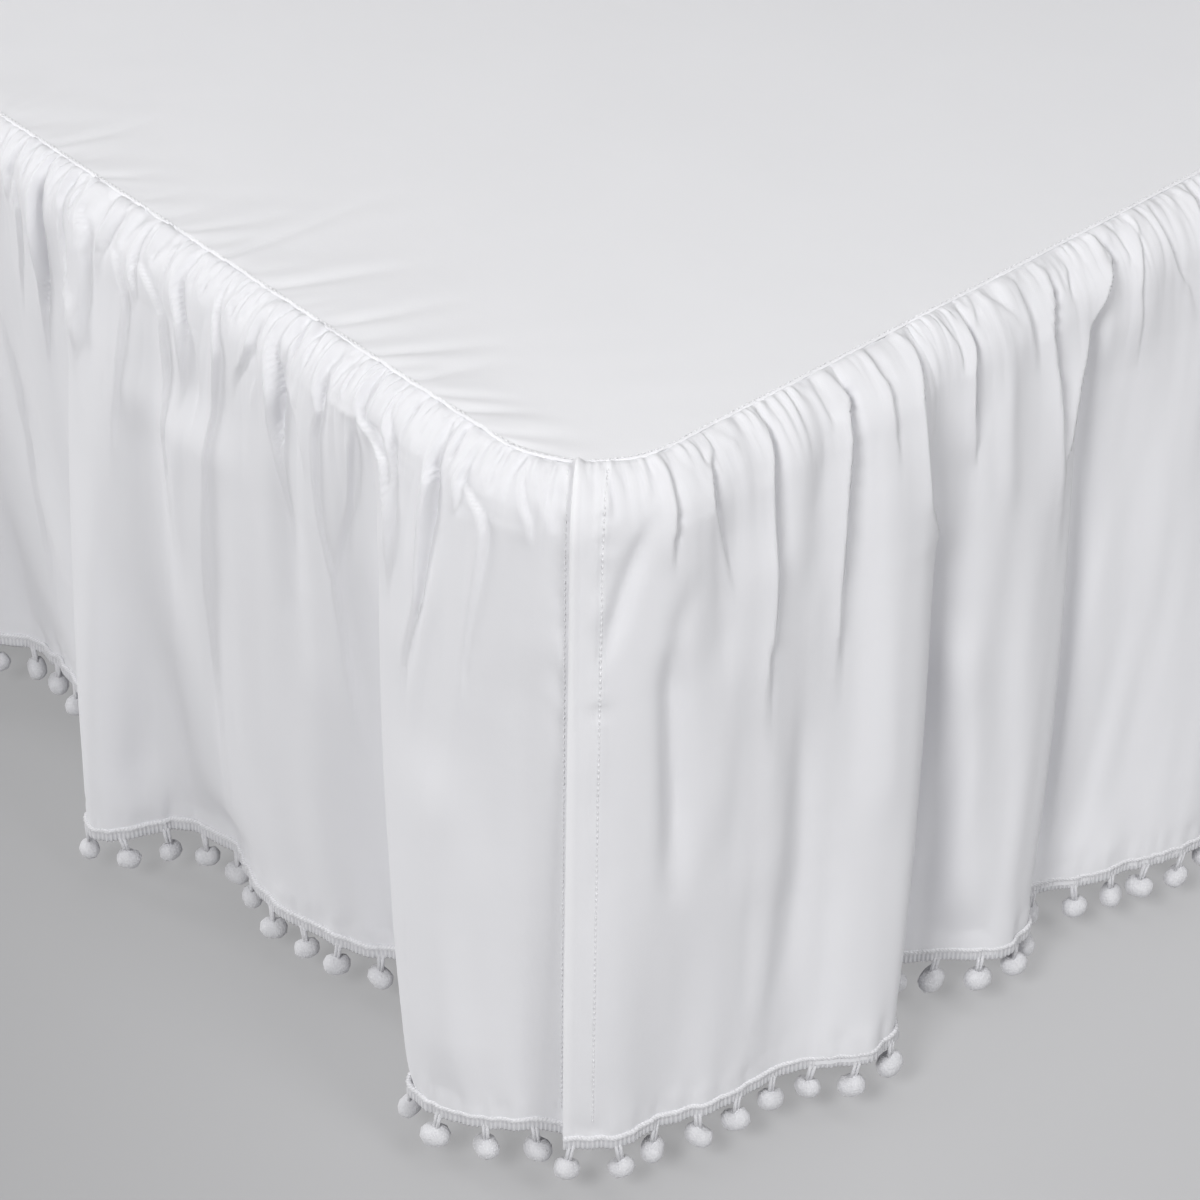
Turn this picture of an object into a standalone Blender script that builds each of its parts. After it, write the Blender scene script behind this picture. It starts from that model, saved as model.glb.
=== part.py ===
"""Gathered bed skirt with pompom trim, hung on a plain twin bed base.

Metres, +Z up.  The foot of the bed is at -Y, the head at +Y, and the origin is on the
floor in the middle of the bounding box.  Lengths along the skirt are measured round the
seam from the middle of the right foot corner: positive up the right side, negative
across the foot and then up the left side.
"""
import math
import random

import bmesh
import bpy
from mathutils import Vector

# --- bed base -----------------------------------------------------------------------
BED_WIDTH = 0.991
BED_LENGTH = 1.905
BASE_HEIGHT = 0.229
BASE_EDGE_RADIUS = 0.012
BASE_HEAD_RADIUS = 0.020
LEG_TOP_RADIUS = 0.030
LEG_FOOT_RADIUS = 0.021
LEG_INSET = 0.075
LEG_SIDES = 12

# --- cloth --------------------------------------------------------------------------
DROP = 0.381                 # seam to the tips of the pompoms
HEM_CLEARANCE = 0.016        # floor to the tips of the pompoms
CLOTH = 0.0012               # thickness
SEAM_INSET = 0.004           # seam inside the base's side faces
SEAM_CORNER_RADIUS = 0.055
SEAM_GAP = 0.0016            # platform to gathered cloth
PIECE_GAP = 0.0004
HEADING_BULGE = 0.016        # how far the gathers stand out before they fall
HEADING_DEPTH = 0.015        # how far down the cloth turns to the vertical
GATHER_DEPTH = 0.0026        # half depth of the small gathers beside the seam
OUT_EASE = 0.9               # a fold opens fast under the heading
AT_EASE = 1.4                # and leans towards the corner lower down

# --- trim ---------------------------------------------------------------------------
BRAID_HEIGHT = 0.0085
BRAID_THICKNESS = 0.0020
POMPOM_PITCH = 0.0254
POMPOM_DIAMETER = 0.0127
POMPOM_CORD = 0.0073
CORD_ROOT = 0.006            # width of the cord where it leaves the braid
CORD_NECK = 0.0012           # half width of the cord at the ball
POMPOM_END_MARGIN = 0.010

# --- derived ------------------------------------------------------------------------
SEAM_Z = HEM_CLEARANCE + DROP
BASE_TOP = SEAM_Z - CLOTH - PIECE_GAP
LEG_HEIGHT = BASE_TOP - BASE_HEIGHT - PIECE_GAP
HALF_WIDTH = BED_WIDTH / 2 - SEAM_INSET
FOOT_Y = -(BED_LENGTH / 2 - SEAM_INSET)
HEAD_Y = BED_LENGTH / 2
QUARTER = SEAM_CORNER_RADIUS * math.pi / 4
FOOT_RUN = 2 * (HALF_WIDTH - SEAM_CORNER_RADIUS + QUARTER)
SIDE_RUN = QUARTER + HEAD_Y - FOOT_Y - SEAM_CORNER_RADIUS
TRIM_DROP = POMPOM_CORD + POMPOM_DIAMETER
BALL_REACH = POMPOM_DIAMETER * 0.41      # half side of the ball's widest square
BRAID_BOTTOM = SEAM_Z - DROP + TRIM_DROP
CLOTH_DROP = SEAM_Z - BRAID_BOTTOM - BRAID_HEIGHT - PIECE_GAP
# The cloth's levels below the seam.  Columns: depth, share of the small gathers there.
LEVELS = ((0.3 * HEADING_DEPTH, 0.7), (0.046, 1.0), (0.150, 0.2), (CLOTH_DROP, 0.0))

# --- folds, in millimetres from the corner's middle ---------------------------------
# Columns: place on the seam, place on the hem, distance of the hem outside the seam.
RIGHT_FOLDS = (
    (-8, -3.5, 66), (10, 7, 66), (24, 14, 61), (40, 22, 56), (60, 32, 58), (86, 43, 59),
    (104, 62, 60), (122, 78, 68), (144, 93, 79), (168, 112, 87), (184, 126, 80),
    (190, 136, 54), (196, 150, 42), (206, 170, 49), (220, 188, 63), (240, 203, 75),
    (264, 217, 78), (286, 231, 74), (298, 243, 63), (306, 252, 57), (318, 263, 62),
    (334, 280, 72), (352, 304, 79), (375, 327, 88), (398, 350, 93), (415, 368, 84),
    (430, 382, 56), (448, 402, 34),
)
FOOT_FOLDS = (
    (9, 4, 57), (22, 11, 57), (38, 18, 63), (56, 26, 69), (78, 35, 72), (98, 42, 66),
    (105, 50, 38), (109, 62, 17), (115, 84, 10), (122, 104, 10), (130, 121, 16),
    (143, 138, 26), (160, 160, 34), (178, 186, 39), (196, 203, 39), (214, 222, 34),
    (226, 240, 29), (245, 258, 32), (264, 274, 38), (280, 283, 50), (300, 290, 66),
    (322, 297, 77), (341, 305, 80), (349, 314, 70), (355, 323, 42), (364, 340, 20),
    (380, 366, 11), (400, 400, 14), (424, 432, 10), (450, 454, 9), (474, 468, 10),
    (494, 478, 18), (512, 490, 34), (530, 506, 56),
)
CORNER_FOLDS = (             # the corner at the far end of a run, measured from its middle
    (9, 4, 58), (22, 12, 58), (40, 22, 66), (62, 34, 71), (84, 46, 62), (98, 58, 34),
    (110, 80, 17), (124, 106, 22),
)
# Soft pulls in the platform cloth, in millimetres from its left end of the foot seam.
# Columns: place on the foot seam, length, height.
PLATFORM_PULLS = (
    (560, 120, 1.6), (615, 90, 1.2), (660, 130, 1.8), (715, 80, 1.0), (760, 120, 1.7),
    (800, 70, 1.1), (835, 100, 1.6), (872, 70, 1.3), (905, 60, 1.2),
)


def clear_scene():
    """Remove whatever the file opened with."""
    for thing in list(bpy.data.objects):
        bpy.data.objects.remove(thing, do_unlink=True)


def material(name, colour, roughness, metallic=0.0):
    """A Principled material."""
    mat = bpy.data.materials.new(name)
    mat.use_nodes = True
    shader = mat.node_tree.nodes["Principled BSDF"]
    shader.inputs["Base Color"].default_value = (*colour, 1.0)
    shader.inputs["Roughness"].default_value = roughness
    shader.inputs["Metallic"].default_value = metallic
    return mat


def finish(name, bm, mat, smooth_angle=None):
    """Turn a bmesh into the named object."""
    bmesh.ops.recalc_face_normals(bm, faces=bm.faces)
    mesh = bpy.data.meshes.new(name)
    bm.to_mesh(mesh)
    bm.free()
    if smooth_angle is not None:
        mesh.shade_smooth()
        mesh.set_sharp_from_angle(angle=math.radians(smooth_angle))
    obj = bpy.data.objects.new(name, mesh)
    obj.data.materials.append(mat)
    bpy.context.scene.collection.objects.link(obj)
    return obj


# --- plan of the seam ---------------------------------------------------------------
def round_corner(at, out):
    """Plan point `out` outside the seam, `at` round from the right corner's middle."""
    if at > QUARTER:
        return HALF_WIDTH + out, FOOT_Y + SEAM_CORNER_RADIUS + at - QUARTER
    if at < -QUARTER:
        return HALF_WIDTH - SEAM_CORNER_RADIUS + at + QUARTER, FOOT_Y - out
    turn = math.pi / 4 - at / SEAM_CORNER_RADIUS
    reach = SEAM_CORNER_RADIUS + out
    return (HALF_WIDTH - SEAM_CORNER_RADIUS + reach * math.cos(turn),
            FOOT_Y + SEAM_CORNER_RADIUS - reach * math.sin(turn))


def perimeter(at, out):
    """Plan point anywhere round the right side, the foot and the left side."""
    if at >= -FOOT_RUN / 2:
        return round_corner(at, out)
    x, y = round_corner(-FOOT_RUN - at, out)
    return -x, y


# --- folds --------------------------------------------------------------------------
def plain_folds(first, last, seed):
    """Fold rows that fill the run between two given rows, each fold uneven."""
    rng = random.Random(seed)
    length = last[1] - first[1]
    count = max(1, round(length / 84))
    shares = [rng.uniform(0.75, 1.25) for _ in range(count)]
    rows = []
    start = first[1]
    for share in shares:
        width = length * share / sum(shares)
        ridge = rng.uniform(56, 84)
        valley = rng.uniform(12, 32)
        lean = rng.uniform(-0.06, 0.06)
        rows += [(start + width * (0.12 + lean), ridge * 0.55 + valley * 0.45),
                 (start + width * (0.30 + lean), ridge),
                 (start + width * (0.50 + lean), ridge * 0.92),
                 (start + width * (0.64 + lean), ridge * 0.5 + valley * 0.5),
                 (start + width * (0.80 + lean), valley)]
        start += width
    shift_start, shift_end = first[0] - first[1], last[0] - last[1]
    spread = last[1] - first[1]
    return [(hem + shift_start + (shift_end - shift_start) * (hem - first[1]) / spread, hem, out)
            for hem, out in rows if first[1] + 10 < hem < last[1] - 10]


def far_corner(run):
    """The corner rows, measured back from the far end of a run."""
    run_mm = run * 1000
    return [(run_mm - seam, run_mm - hem, out) for seam, hem, out in reversed(CORNER_FOLDS)]


def right_rows():
    """Fold rows of the right side, corner to head."""
    head = (SIDE_RUN * 1000, SIDE_RUN * 1000, 48)
    return [*RIGHT_FOLDS, *plain_folds(RIGHT_FOLDS[-1], head, 11), head]


def foot_rows():
    """Fold rows of the foot, right corner to left corner."""
    end = far_corner(FOOT_RUN)
    return [*FOOT_FOLDS, *plain_folds(FOOT_FOLDS[-1], end[0], 23), *end]


def left_rows():
    """Fold rows of the left side, corner to head."""
    start = [(-8, -3.5, 67), *CORNER_FOLDS]
    head = (SIDE_RUN * 1000, SIDE_RUN * 1000, 50)
    return [*start, *plain_folds(start[-1], head, 37), head]


def in_metres(rows):
    """The rows as vectors of seam, hem and out in metres."""
    return [Vector(row) / 1000 for row in rows]


def hem_lengths(curve, side):
    """Running length of the real hem at each point of a curve."""
    spots = [Vector(perimeter(side(point[1]), point[2])) for point in curve]
    total = [0.0]
    for here, there in zip(spots, spots[1:]):
        total.append(total[-1] + (there - here).length)
    return total


def points_at(curve, lengths, wanted):
    """The curve's points at given running lengths."""
    found = []
    span = 0
    for length in wanted:
        while span < len(lengths) - 2 and lengths[span + 1] < length:
            span += 1
        t = (length - lengths[span]) / (lengths[span + 1] - lengths[span])
        found.append(curve[span].lerp(curve[span + 1], t))
    return found


# --- cloth --------------------------------------------------------------------------
def fall_line(seam, hem, hem_out, gather):
    """One column of the cloth's face from the seam down, as (at, out, depth)."""
    line = [(seam, SEAM_GAP, 0.0)]
    for depth, crimp in LEVELS:
        fall = max(0.0, (depth - HEADING_DEPTH) / (CLOTH_DROP - HEADING_DEPTH))
        opening = fall ** OUT_EASE
        roll = min(1.0, depth / HEADING_DEPTH)
        bulge = HEADING_BULGE * math.sqrt(1 - (1 - roll) ** 2) + GATHER_DEPTH * gather * crimp
        line.append((seam + (hem - seam) * fall ** AT_EASE,
                     bulge * (1 - opening) + hem_out * opening, depth))
    return line


def inward(columns, column, level, turn):
    """Unit vector from the face of a sheet into it, at one vertex of its columns."""
    before = columns[max(column - 1, 0)]
    after = columns[min(column + 1, len(columns) - 1)]
    along = (after[level] - before[level]) * turn
    if level == 0:
        return Vector((0, 0, -1))
    if level == len(before) - 1:
        down = Vector((0, 0, -1))
    else:
        down = columns[column][level + 1] - columns[column][level - 1]
    return along.cross(down).normalized()


def drop_panel(name, rows, side, mat):
    """One gathered panel, from the seam to the hem, as a closed sheet."""
    turn = side(1) - side(0)
    face = []
    for number, (seam, hem, hem_out) in enumerate(in_metres(rows)):
        at_edge = number in (0, len(rows) - 1)
        line = fall_line(seam, hem, hem_out, 0 if at_edge else (-1) ** number)
        face.append([Vector((*perimeter(side(at), out), SEAM_Z - depth))
                     for at, out, depth in line])
    back = [[point + CLOTH * inward(face, column, level, turn)
             for level, point in enumerate(line)] for column, line in enumerate(face)]
    bm = bmesh.new()
    outer, inner = ([[bm.verts.new(point) for point in line] for line in skin]
                    for skin in (face, back))
    skin_between(bm, outer, inner, len(LEVELS) + 1)
    return finish(name, bm, mat, 60)


def split_quad(bm, first, second, third, fourth):
    """Two triangles in place of a twisted quad, parted from its first to its third corner."""
    bm.faces.new((first, second, third))
    bm.faces.new((first, third, fourth))


def skin_between(bm, outer, inner, level_count):
    """Close the face and the back of a sheet given as columns of vertices."""
    for left, right, left_back, right_back in zip(outer, outer[1:], inner, inner[1:]):
        for level in range(level_count - 1):
            split_quad(bm, left[level], left[level + 1], right[level + 1], right[level])
            split_quad(bm, left_back[level], right_back[level],
                       right_back[level + 1], left_back[level + 1])
        bm.faces.new((left[0], right[0], right_back[0], left_back[0]))
        bm.faces.new((right[-1], left[-1], left_back[-1], right_back[-1]))
    for face_line, back_line in ((outer[0], inner[0]), (outer[-1], inner[-1])):
        for level in range(level_count - 1):
            bm.faces.new((face_line[level], back_line[level],
                          back_line[level + 1], face_line[level + 1]))


def pull_height(x, into):
    """Height of the platform's soft pulls, `into` metres in from the foot seam."""
    height = 0.0
    for place, length, rise in PLATFORM_PULLS:
        offset = x + HALF_WIDTH - place / 1000 - 0.75 * into
        fade = max(0.0, 1 - into * 1000 / length)
        height += rise / 1000 * fade * math.exp(-(offset / 0.011) ** 2)
    return height


def platform_cloth(mat):
    """The flat cloth under the mattress, with rounded foot corners and soft pulls."""
    turns = [math.radians(15 * step) for step in range(1, 7)]
    straight = HALF_WIDTH - SEAM_CORNER_RADIUS
    steps = 24
    xs = [-straight + 2 * straight * step / steps for step in range(steps + 1)]
    xs = ([-straight - SEAM_CORNER_RADIUS * math.sin(turn) for turn in reversed(turns)] + xs
          + [straight + SEAM_CORNER_RADIUS * math.sin(turn) for turn in turns])
    depths = (0.0, 0.012, 0.045, 0.09, 0.15)
    bm = bmesh.new()
    upper, lower = [], []
    for x in xs:
        over = max(0.0, abs(x) - straight)
        dip = SEAM_CORNER_RADIUS - math.sqrt(max(0.0, SEAM_CORNER_RADIUS ** 2 - over ** 2))
        front = FOOT_Y + dip
        line = [(x, front + into, SEAM_Z + (pull_height(x, into) if into else 0.0))
                for into in depths]
        line.append((x, HEAD_Y, SEAM_Z))
        upper.append([bm.verts.new(point) for point in line])
        lower.append([bm.verts.new((px, py, pz - CLOTH)) for px, py, pz in line])
    skin_between(bm, upper, lower, len(depths) + 1)
    return finish("platform_cloth", bm, mat)


# --- trim ---------------------------------------------------------------------------
def pompom_places(total):
    """Running lengths of the pompoms along a hem."""
    run = total - 2 * POMPOM_END_MARGIN
    count = round(run / POMPOM_PITCH)
    return [POMPOM_END_MARGIN + run * step / count for step in range(count + 1)]


def pompom_trim(name, rows, side, mat):
    """A braid along the hem with its pompoms grown from its lower edge."""
    curve = in_metres(rows)
    lengths = hem_lengths(curve, side)
    places = pompom_places(lengths[-1])
    cuts = [0.0, *(place + half for place in places for half in (-CORD_ROOT / 2, CORD_ROOT / 2)),
            lengths[-1]]
    face = []
    for _seam, hem, out in points_at(curve, lengths, cuts):
        x, y = perimeter(side(hem), out)
        face.append([Vector((x, y, BRAID_BOTTOM + BRAID_HEIGHT)), Vector((x, y, BRAID_BOTTOM))])
    turn = side(1) - side(0)
    bm = bmesh.new()
    outer = [[bm.verts.new(point) for point in line] for line in face]
    inner = [[bm.verts.new(point + BRAID_THICKNESS * inward(face, column, 1, turn))
              for point in line] for column, line in enumerate(face)]
    skin_between(bm, outer, inner, 2)
    bmesh.ops.recalc_face_normals(bm, faces=bm.faces)
    roots = [[outer[number][1], outer[number + 1][1], inner[number + 1][1], inner[number][1]]
             for number in range(1, len(cuts) - 2, 2)]
    for ring in roots:
        grow_pompom(bm, next(face for face in ring[0].link_faces if set(face.verts) == set(ring)))
    return finish(name, bm, mat)


def square_ring(face, middle, along, reach, depth):
    """Set a quad's corners on a level square about an axis, keeping their order."""
    corners = [vert.co.copy() for vert in face.verts]
    first = max(range(4), key=lambda k: (corners[(k + 1) % 4] - corners[k]).dot(along))
    across = Vector((0, 0, 1)).cross(along)
    near = (corners[first] + corners[(first + 1) % 4]) / 2 - middle
    flip = math.copysign(1, near.dot(across))
    for step, (sideways, outward) in enumerate(((-1, 1), (1, 1), (1, -1), (-1, -1))):
        offset = (sideways * along + outward * flip * across) * reach
        face.verts[(first + step) % 4].co = middle + offset - Vector((0, 0, depth))


def grow_pompom(bm, face):
    """Extrude a cord and a four-sided ball down from one face of the braid."""
    middle = face.calc_center_median()
    sides = [face.verts[1].co - face.verts[0].co, face.verts[2].co - face.verts[1].co]
    along = max(sides, key=lambda edge: edge.length).normalized()
    rings = ((POMPOM_CORD, CORD_NECK), (POMPOM_CORD + POMPOM_DIAMETER * 0.48, BALL_REACH))
    for depth, reach in rings:
        face = bmesh.ops.extrude_discrete_faces(bm, faces=[face])["faces"][0]
        square_ring(face, middle, along, reach, depth)
    tip = middle - Vector((0, 0, TRIM_DROP))
    face = bmesh.ops.extrude_discrete_faces(bm, faces=[face])["faces"][0]
    bmesh.ops.pointmerge(bm, verts=list(face.verts), merge_co=tip)


# --- bed base -----------------------------------------------------------------------
def bed_base(mat):
    """The plain base: a box with rounded corners and softened edges."""
    bm = bmesh.new()
    bmesh.ops.create_cube(bm, size=1.0)
    bmesh.ops.scale(bm, vec=(BED_WIDTH, BED_LENGTH, BASE_HEIGHT), verts=bm.verts)
    bmesh.ops.translate(bm, vec=(0, 0, BASE_TOP - BASE_HEIGHT / 2), verts=bm.verts)
    for end, radius in ((-1, SEAM_CORNER_RADIUS + SEAM_INSET), (1, BASE_HEAD_RADIUS)):
        uprights = [edge for edge in bm.edges
                    if abs(edge.verts[0].co.z - edge.verts[1].co.z) > BASE_HEIGHT / 2
                    and edge.verts[0].co.y * end > 0]
        bmesh.ops.bevel(bm, geom=uprights, offset=radius, segments=5, profile=0.5,
                        affect="EDGES", material=-1)
    rims = [edge for edge in bm.edges
            if abs(edge.verts[0].co.z - edge.verts[1].co.z) < 1e-6 and len(edge.link_faces) == 2
            and abs(edge.link_faces[0].normal.z - edge.link_faces[1].normal.z) > 0.5]
    bmesh.ops.bevel(bm, geom=rims, offset=BASE_EDGE_RADIUS, segments=2, profile=0.5,
                    affect="EDGES", material=-1)
    return finish("bed_base", bm, mat, 40)


def bed_leg(number, x, y, mat):
    """One tapered leg, its foot on the floor."""
    bm = bmesh.new()
    bmesh.ops.create_cone(bm, cap_ends=True, segments=LEG_SIDES, radius1=LEG_FOOT_RADIUS,
                          radius2=LEG_TOP_RADIUS, depth=LEG_HEIGHT)
    bmesh.ops.translate(bm, vec=(0, 0, LEG_HEIGHT / 2), verts=bm.verts)
    leg = finish(f"bed_leg_{number}", bm, mat, 40)
    leg.location = (x, y, 0)
    return leg


def centre_on_origin(objects):
    """Slide every object so that the bounding box is centred on the Z axis."""
    bpy.context.view_layer.update()
    corners = [obj.matrix_world @ Vector(corner) for obj in objects for corner in obj.bound_box]
    for axis in (0, 1):
        values = [corner[axis] for corner in corners]
        middle = (min(values) + max(values)) / 2
        for obj in objects:
            obj.location[axis] -= middle


def main():
    """Build every sub-part."""
    clear_scene()
    cloth = material("white_cotton", (0.80, 0.80, 0.83), 0.85)
    trim = material("white_trim", (0.86, 0.86, 0.88), 0.9)
    ticking = material("base_cloth", (0.62, 0.62, 0.64), 0.9)
    wood = material("leg_wood", (0.30, 0.19, 0.11), 0.5)
    panels = (
        ("right", right_rows(), lambda at: at),
        ("foot", foot_rows(), lambda at: -at),
        ("left", left_rows(), lambda at: -FOOT_RUN - at),
    )
    objects = [platform_cloth(cloth), bed_base(ticking)]
    for name, rows, side in panels:
        objects.append(drop_panel(f"skirt_{name}", rows, side, cloth))
        objects.append(pompom_trim(f"trim_{name}", rows, side, trim))
    leg_x = BED_WIDTH / 2 - LEG_INSET
    leg_y = BED_LENGTH / 2 - LEG_INSET
    places = [(x, y) for y in (-leg_y, 0.0, leg_y) for x in (-leg_x, leg_x)]
    for number, (x, y) in enumerate(places, start=1):
        objects.append(bed_leg(number, x, y, wood))
    centre_on_origin(objects)


main()
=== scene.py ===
"""White gathered bed skirt with split corners and a pompom trim, on a plain twin bed base.

Metres, +Z up, the foot of the bed at -Y.  A length along a drop is its "run": the distance
round the seam from the middle of the corner where that drop starts.  The right drop runs
from the right foot corner to the head, the foot drop from the right foot corner to the left
one, and the left drop from the left foot corner to the head.
"""
from __future__ import annotations

import logging
import math
import random
from dataclasses import dataclass, field
from enum import Enum
from typing import NamedTuple

import bmesh
import bpy
import numpy as np
from mathutils import Matrix, Vector


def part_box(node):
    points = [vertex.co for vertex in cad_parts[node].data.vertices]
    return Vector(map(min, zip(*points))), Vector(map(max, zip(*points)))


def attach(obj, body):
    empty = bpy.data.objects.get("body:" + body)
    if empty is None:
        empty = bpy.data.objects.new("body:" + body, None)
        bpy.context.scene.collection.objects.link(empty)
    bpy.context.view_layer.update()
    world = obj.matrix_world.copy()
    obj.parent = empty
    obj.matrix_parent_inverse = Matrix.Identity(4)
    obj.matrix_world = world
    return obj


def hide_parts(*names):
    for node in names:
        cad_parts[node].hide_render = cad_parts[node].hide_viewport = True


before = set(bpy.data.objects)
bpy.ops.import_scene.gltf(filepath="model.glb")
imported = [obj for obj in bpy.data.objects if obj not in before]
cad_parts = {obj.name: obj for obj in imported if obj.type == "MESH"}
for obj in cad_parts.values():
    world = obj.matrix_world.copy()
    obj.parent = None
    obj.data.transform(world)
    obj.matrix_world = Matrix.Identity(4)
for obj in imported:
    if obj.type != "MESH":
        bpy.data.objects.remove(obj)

log = logging.getLogger("bed_skirt")
MM = 0.001


# --- shaders ------------------------------------------------------------------------------
class Value:
    """A node's output; arithmetic on it adds Math nodes."""

    def __init__(self, graph: "Graph", socket: bpy.types.NodeSocket) -> None:
        """Wrap a socket of a graph."""
        self.graph = graph
        self.socket = socket

    def _math(self, operation: str, first: object, second: object) -> "Value":
        """Add a Math node on two values."""
        return self.graph.node("ShaderNodeMath", {"operation": operation},
                               {0: first, 1: second})

    def __add__(self, other: object) -> "Value":
        """Sum."""
        return self._math("ADD", self, other)

    __radd__ = __add__

    def __sub__(self, other: object) -> "Value":
        """Difference."""
        return self._math("SUBTRACT", self, other)

    def __rsub__(self, other: object) -> "Value":
        """Difference the other way."""
        return self._math("SUBTRACT", other, self)

    def __mul__(self, other: object) -> "Value":
        """Product."""
        return self._math("MULTIPLY", self, other)

    __rmul__ = __mul__

    def above(self, limit: float) -> "Value":
        """1 where the value is over a limit, else 0."""
        return self._math("GREATER_THAN", self, limit)

    def wave(self, period: float) -> "Value":
        """A sine of the value with the given period, from -1 to 1."""
        return self._math("SINE", self * (2 * math.pi / period), 0.0)


class Graph:
    """The nodes of one material."""

    def __init__(self, name: str) -> None:
        """Start a material with a Principled shader."""
        self.material = bpy.data.materials.new(name)
        self.material.use_nodes = True
        self.nodes = self.material.node_tree.nodes
        self.shader = self.nodes["Principled BSDF"]

    def node(self, kind: str, settings: dict[str, object], inputs: dict[object, object],
             output: object = 0) -> Value:
        """Add a node.

        Args:
            kind: the node's type.
            settings: its attributes, set before its sockets.
            inputs: values or links of its sockets, by name or number.
            output: name or number of the output to return.

        Returns:
            The chosen output.
        """
        made = self.nodes.new(kind)
        for key, value in settings.items():
            setattr(made, key, value)
        for key, value in inputs.items():
            self.feed(made.inputs[key], value)
        return Value(self, made.outputs[output])

    def feed(self, socket: bpy.types.NodeSocket, value: object) -> None:
        """Link a value to a socket, or set the socket's own number or opaque colour."""
        if isinstance(value, Value):
            self.material.node_tree.links.new(value.socket, socket)
        else:
            socket.default_value = (*value, 1.0) if socket.type == "RGBA" else value

    def noise(self, where: Value, scale: float, detail: float = 2.0) -> Value:
        """Noise with a feature size of about 1 / scale metres."""
        return self.node("ShaderNodeTexNoise", {},
                         {"Vector": where, "Scale": scale, "Detail": detail})

    def blend(self, factor: object, first: object, second: object) -> Value:
        """Mix two colours."""
        return self.node("ShaderNodeMix", {"data_type": "RGBA"},
                         {0: factor, 6: first, 7: second}, 2)

    def bump(self, height: Value, distance: float, strength: float) -> Value:
        """A bumped normal from a height of 0 to 1 over a distance in metres."""
        return self.node("ShaderNodeBump", {},
                         {"Height": height, "Distance": distance, "Strength": strength})

    def coordinates(self, source: str) -> Value:
        """Object or UV coordinates."""
        return self.node("ShaderNodeTexCoord", {}, {}, source)

    def split(self, vector: Value) -> tuple[Value, Value, Value]:
        """The three parts of a vector."""
        parts = self.node("ShaderNodeSeparateXYZ", {}, {0: vector}).socket.node.outputs
        return tuple(Value(self, part) for part in parts)

    def dress(self, **sockets: object) -> bpy.types.Material:
        """Fill the shader's sockets, named with _ for a space, and return the material."""
        for key, value in sockets.items():
            self.feed(self.shader.inputs[key.replace("_", " ")], value)
        return self.material


@dataclass(frozen=True)
class CottonWeave:
    """Plain-woven white cotton, a little uneven in tone, with fine threads and slubs."""

    light: tuple[float, float, float] = (0.82, 0.82, 0.845)
    dark: tuple[float, float, float] = (0.785, 0.785, 0.81)
    hem: tuple[float, float, float] = (0.93, 0.93, 0.945)
    thread: float = 0.0009
    thread_depth: float = 0.00006
    crinkle_depth: float = 0.00035

    def material(self) -> bpy.types.Material:
        """Build the material from the sheet's own UV map, in metres of flat cloth."""
        graph = Graph("white_cotton_weave")
        flat = graph.coordinates("UV")
        across, along, _ = graph.split(flat)
        wobble = graph.noise(flat, 90.0) * 0.002
        warp = (across + wobble).wave(self.thread)
        weft = (along + wobble).wave(self.thread)
        slub = graph.noise(flat, 700.0, 3.0)
        crinkle = graph.noise(flat, 55.0, 4.0)
        height = warp * weft * 0.25 + slub * 0.75
        tone = graph.noise(flat, 14.0, 4.0)
        single = graph.blend(tone, self.dark, self.light)
        doubled = graph.node("ShaderNodeAttribute", {"attribute_name": "doubled"}, {}, "Fac")
        colour = graph.blend(doubled, single, self.hem)
        soft = graph.bump(crinkle, self.crinkle_depth, 0.5)
        weave = graph.node("ShaderNodeBump", {}, {"Height": height, "Strength": 0.6,
                                                  "Distance": self.thread_depth,
                                                  "Normal": soft})
        return graph.dress(Base_Color=colour, Roughness=slub * 0.1 + 0.82, Normal=weave,
                           Sheen_Weight=0.25, Sheen_Roughness=0.45, Specular_IOR_Level=0.2)


@dataclass(frozen=True)
class Yarn:
    """Matt white yarn with a fuzzy surface."""

    name: str
    light: tuple[float, float, float]
    dark: tuple[float, float, float]
    fuzz: float
    fuzz_depth: float

    def material(self) -> bpy.types.Material:
        """Build the material from object coordinates."""
        graph = Graph(self.name)
        where = graph.coordinates("Object")
        strands = graph.noise(where, 1 / self.fuzz, 3.0)
        colour = graph.blend(strands, self.dark, self.light)
        return graph.dress(Base_Color=colour, Roughness=0.95,
                           Normal=graph.bump(strands, self.fuzz_depth, 0.8),
                           Sheen_Weight=0.4, Sheen_Roughness=0.5, Specular_IOR_Level=0.1)


@dataclass(frozen=True)
class RibbedBraid:
    """White braid: upright ribs under a cord that twists along its upper edge, with painted
    shade darkening the grooves between the ribs and between the cord's twists.
    """

    height: float
    rib: float
    light: tuple[float, float, float] = (0.80, 0.80, 0.82)
    # dark is painted shade: the colour of the grooves between the ribs and between the cord's
    # twists.
    dark: tuple[float, float, float] = (0.62, 0.62, 0.65)
    twist: float = 0.0017
    depth: float = 0.0004
    corded_from: float = 0.66        # share of the height where the cord begins

    def material(self) -> bpy.types.Material:
        """Build the material from the braid's UV map: its length and its height in metres."""
        graph = Graph("ribbed_braid")
        flat = graph.coordinates("UV")
        length, high, _ = graph.split(flat)
        fuzz = graph.noise(flat, 1400.0, 3.0)
        ribs = length.wave(self.rib) * 0.5 + 0.5
        twist_relief_and_shade = (length + high).wave(self.twist) * 0.3 + 0.75
        corded = high.above(self.height * self.corded_from)
        plain = ribs * (1 - corded) + twist_relief_and_shade * corded
        relief = plain * 0.75 + fuzz * 0.25
        # Painted shade: the ribs and the cord's twist darken the colour in their grooves as well
        # as bumping the surface.
        colour = graph.blend(relief, self.dark, self.light)
        return graph.dress(Base_Color=colour, Roughness=0.92,
                           Normal=graph.bump(relief, self.depth, 0.8),
                           Sheen_Weight=0.3, Sheen_Roughness=0.5, Specular_IOR_Level=0.15)


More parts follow.
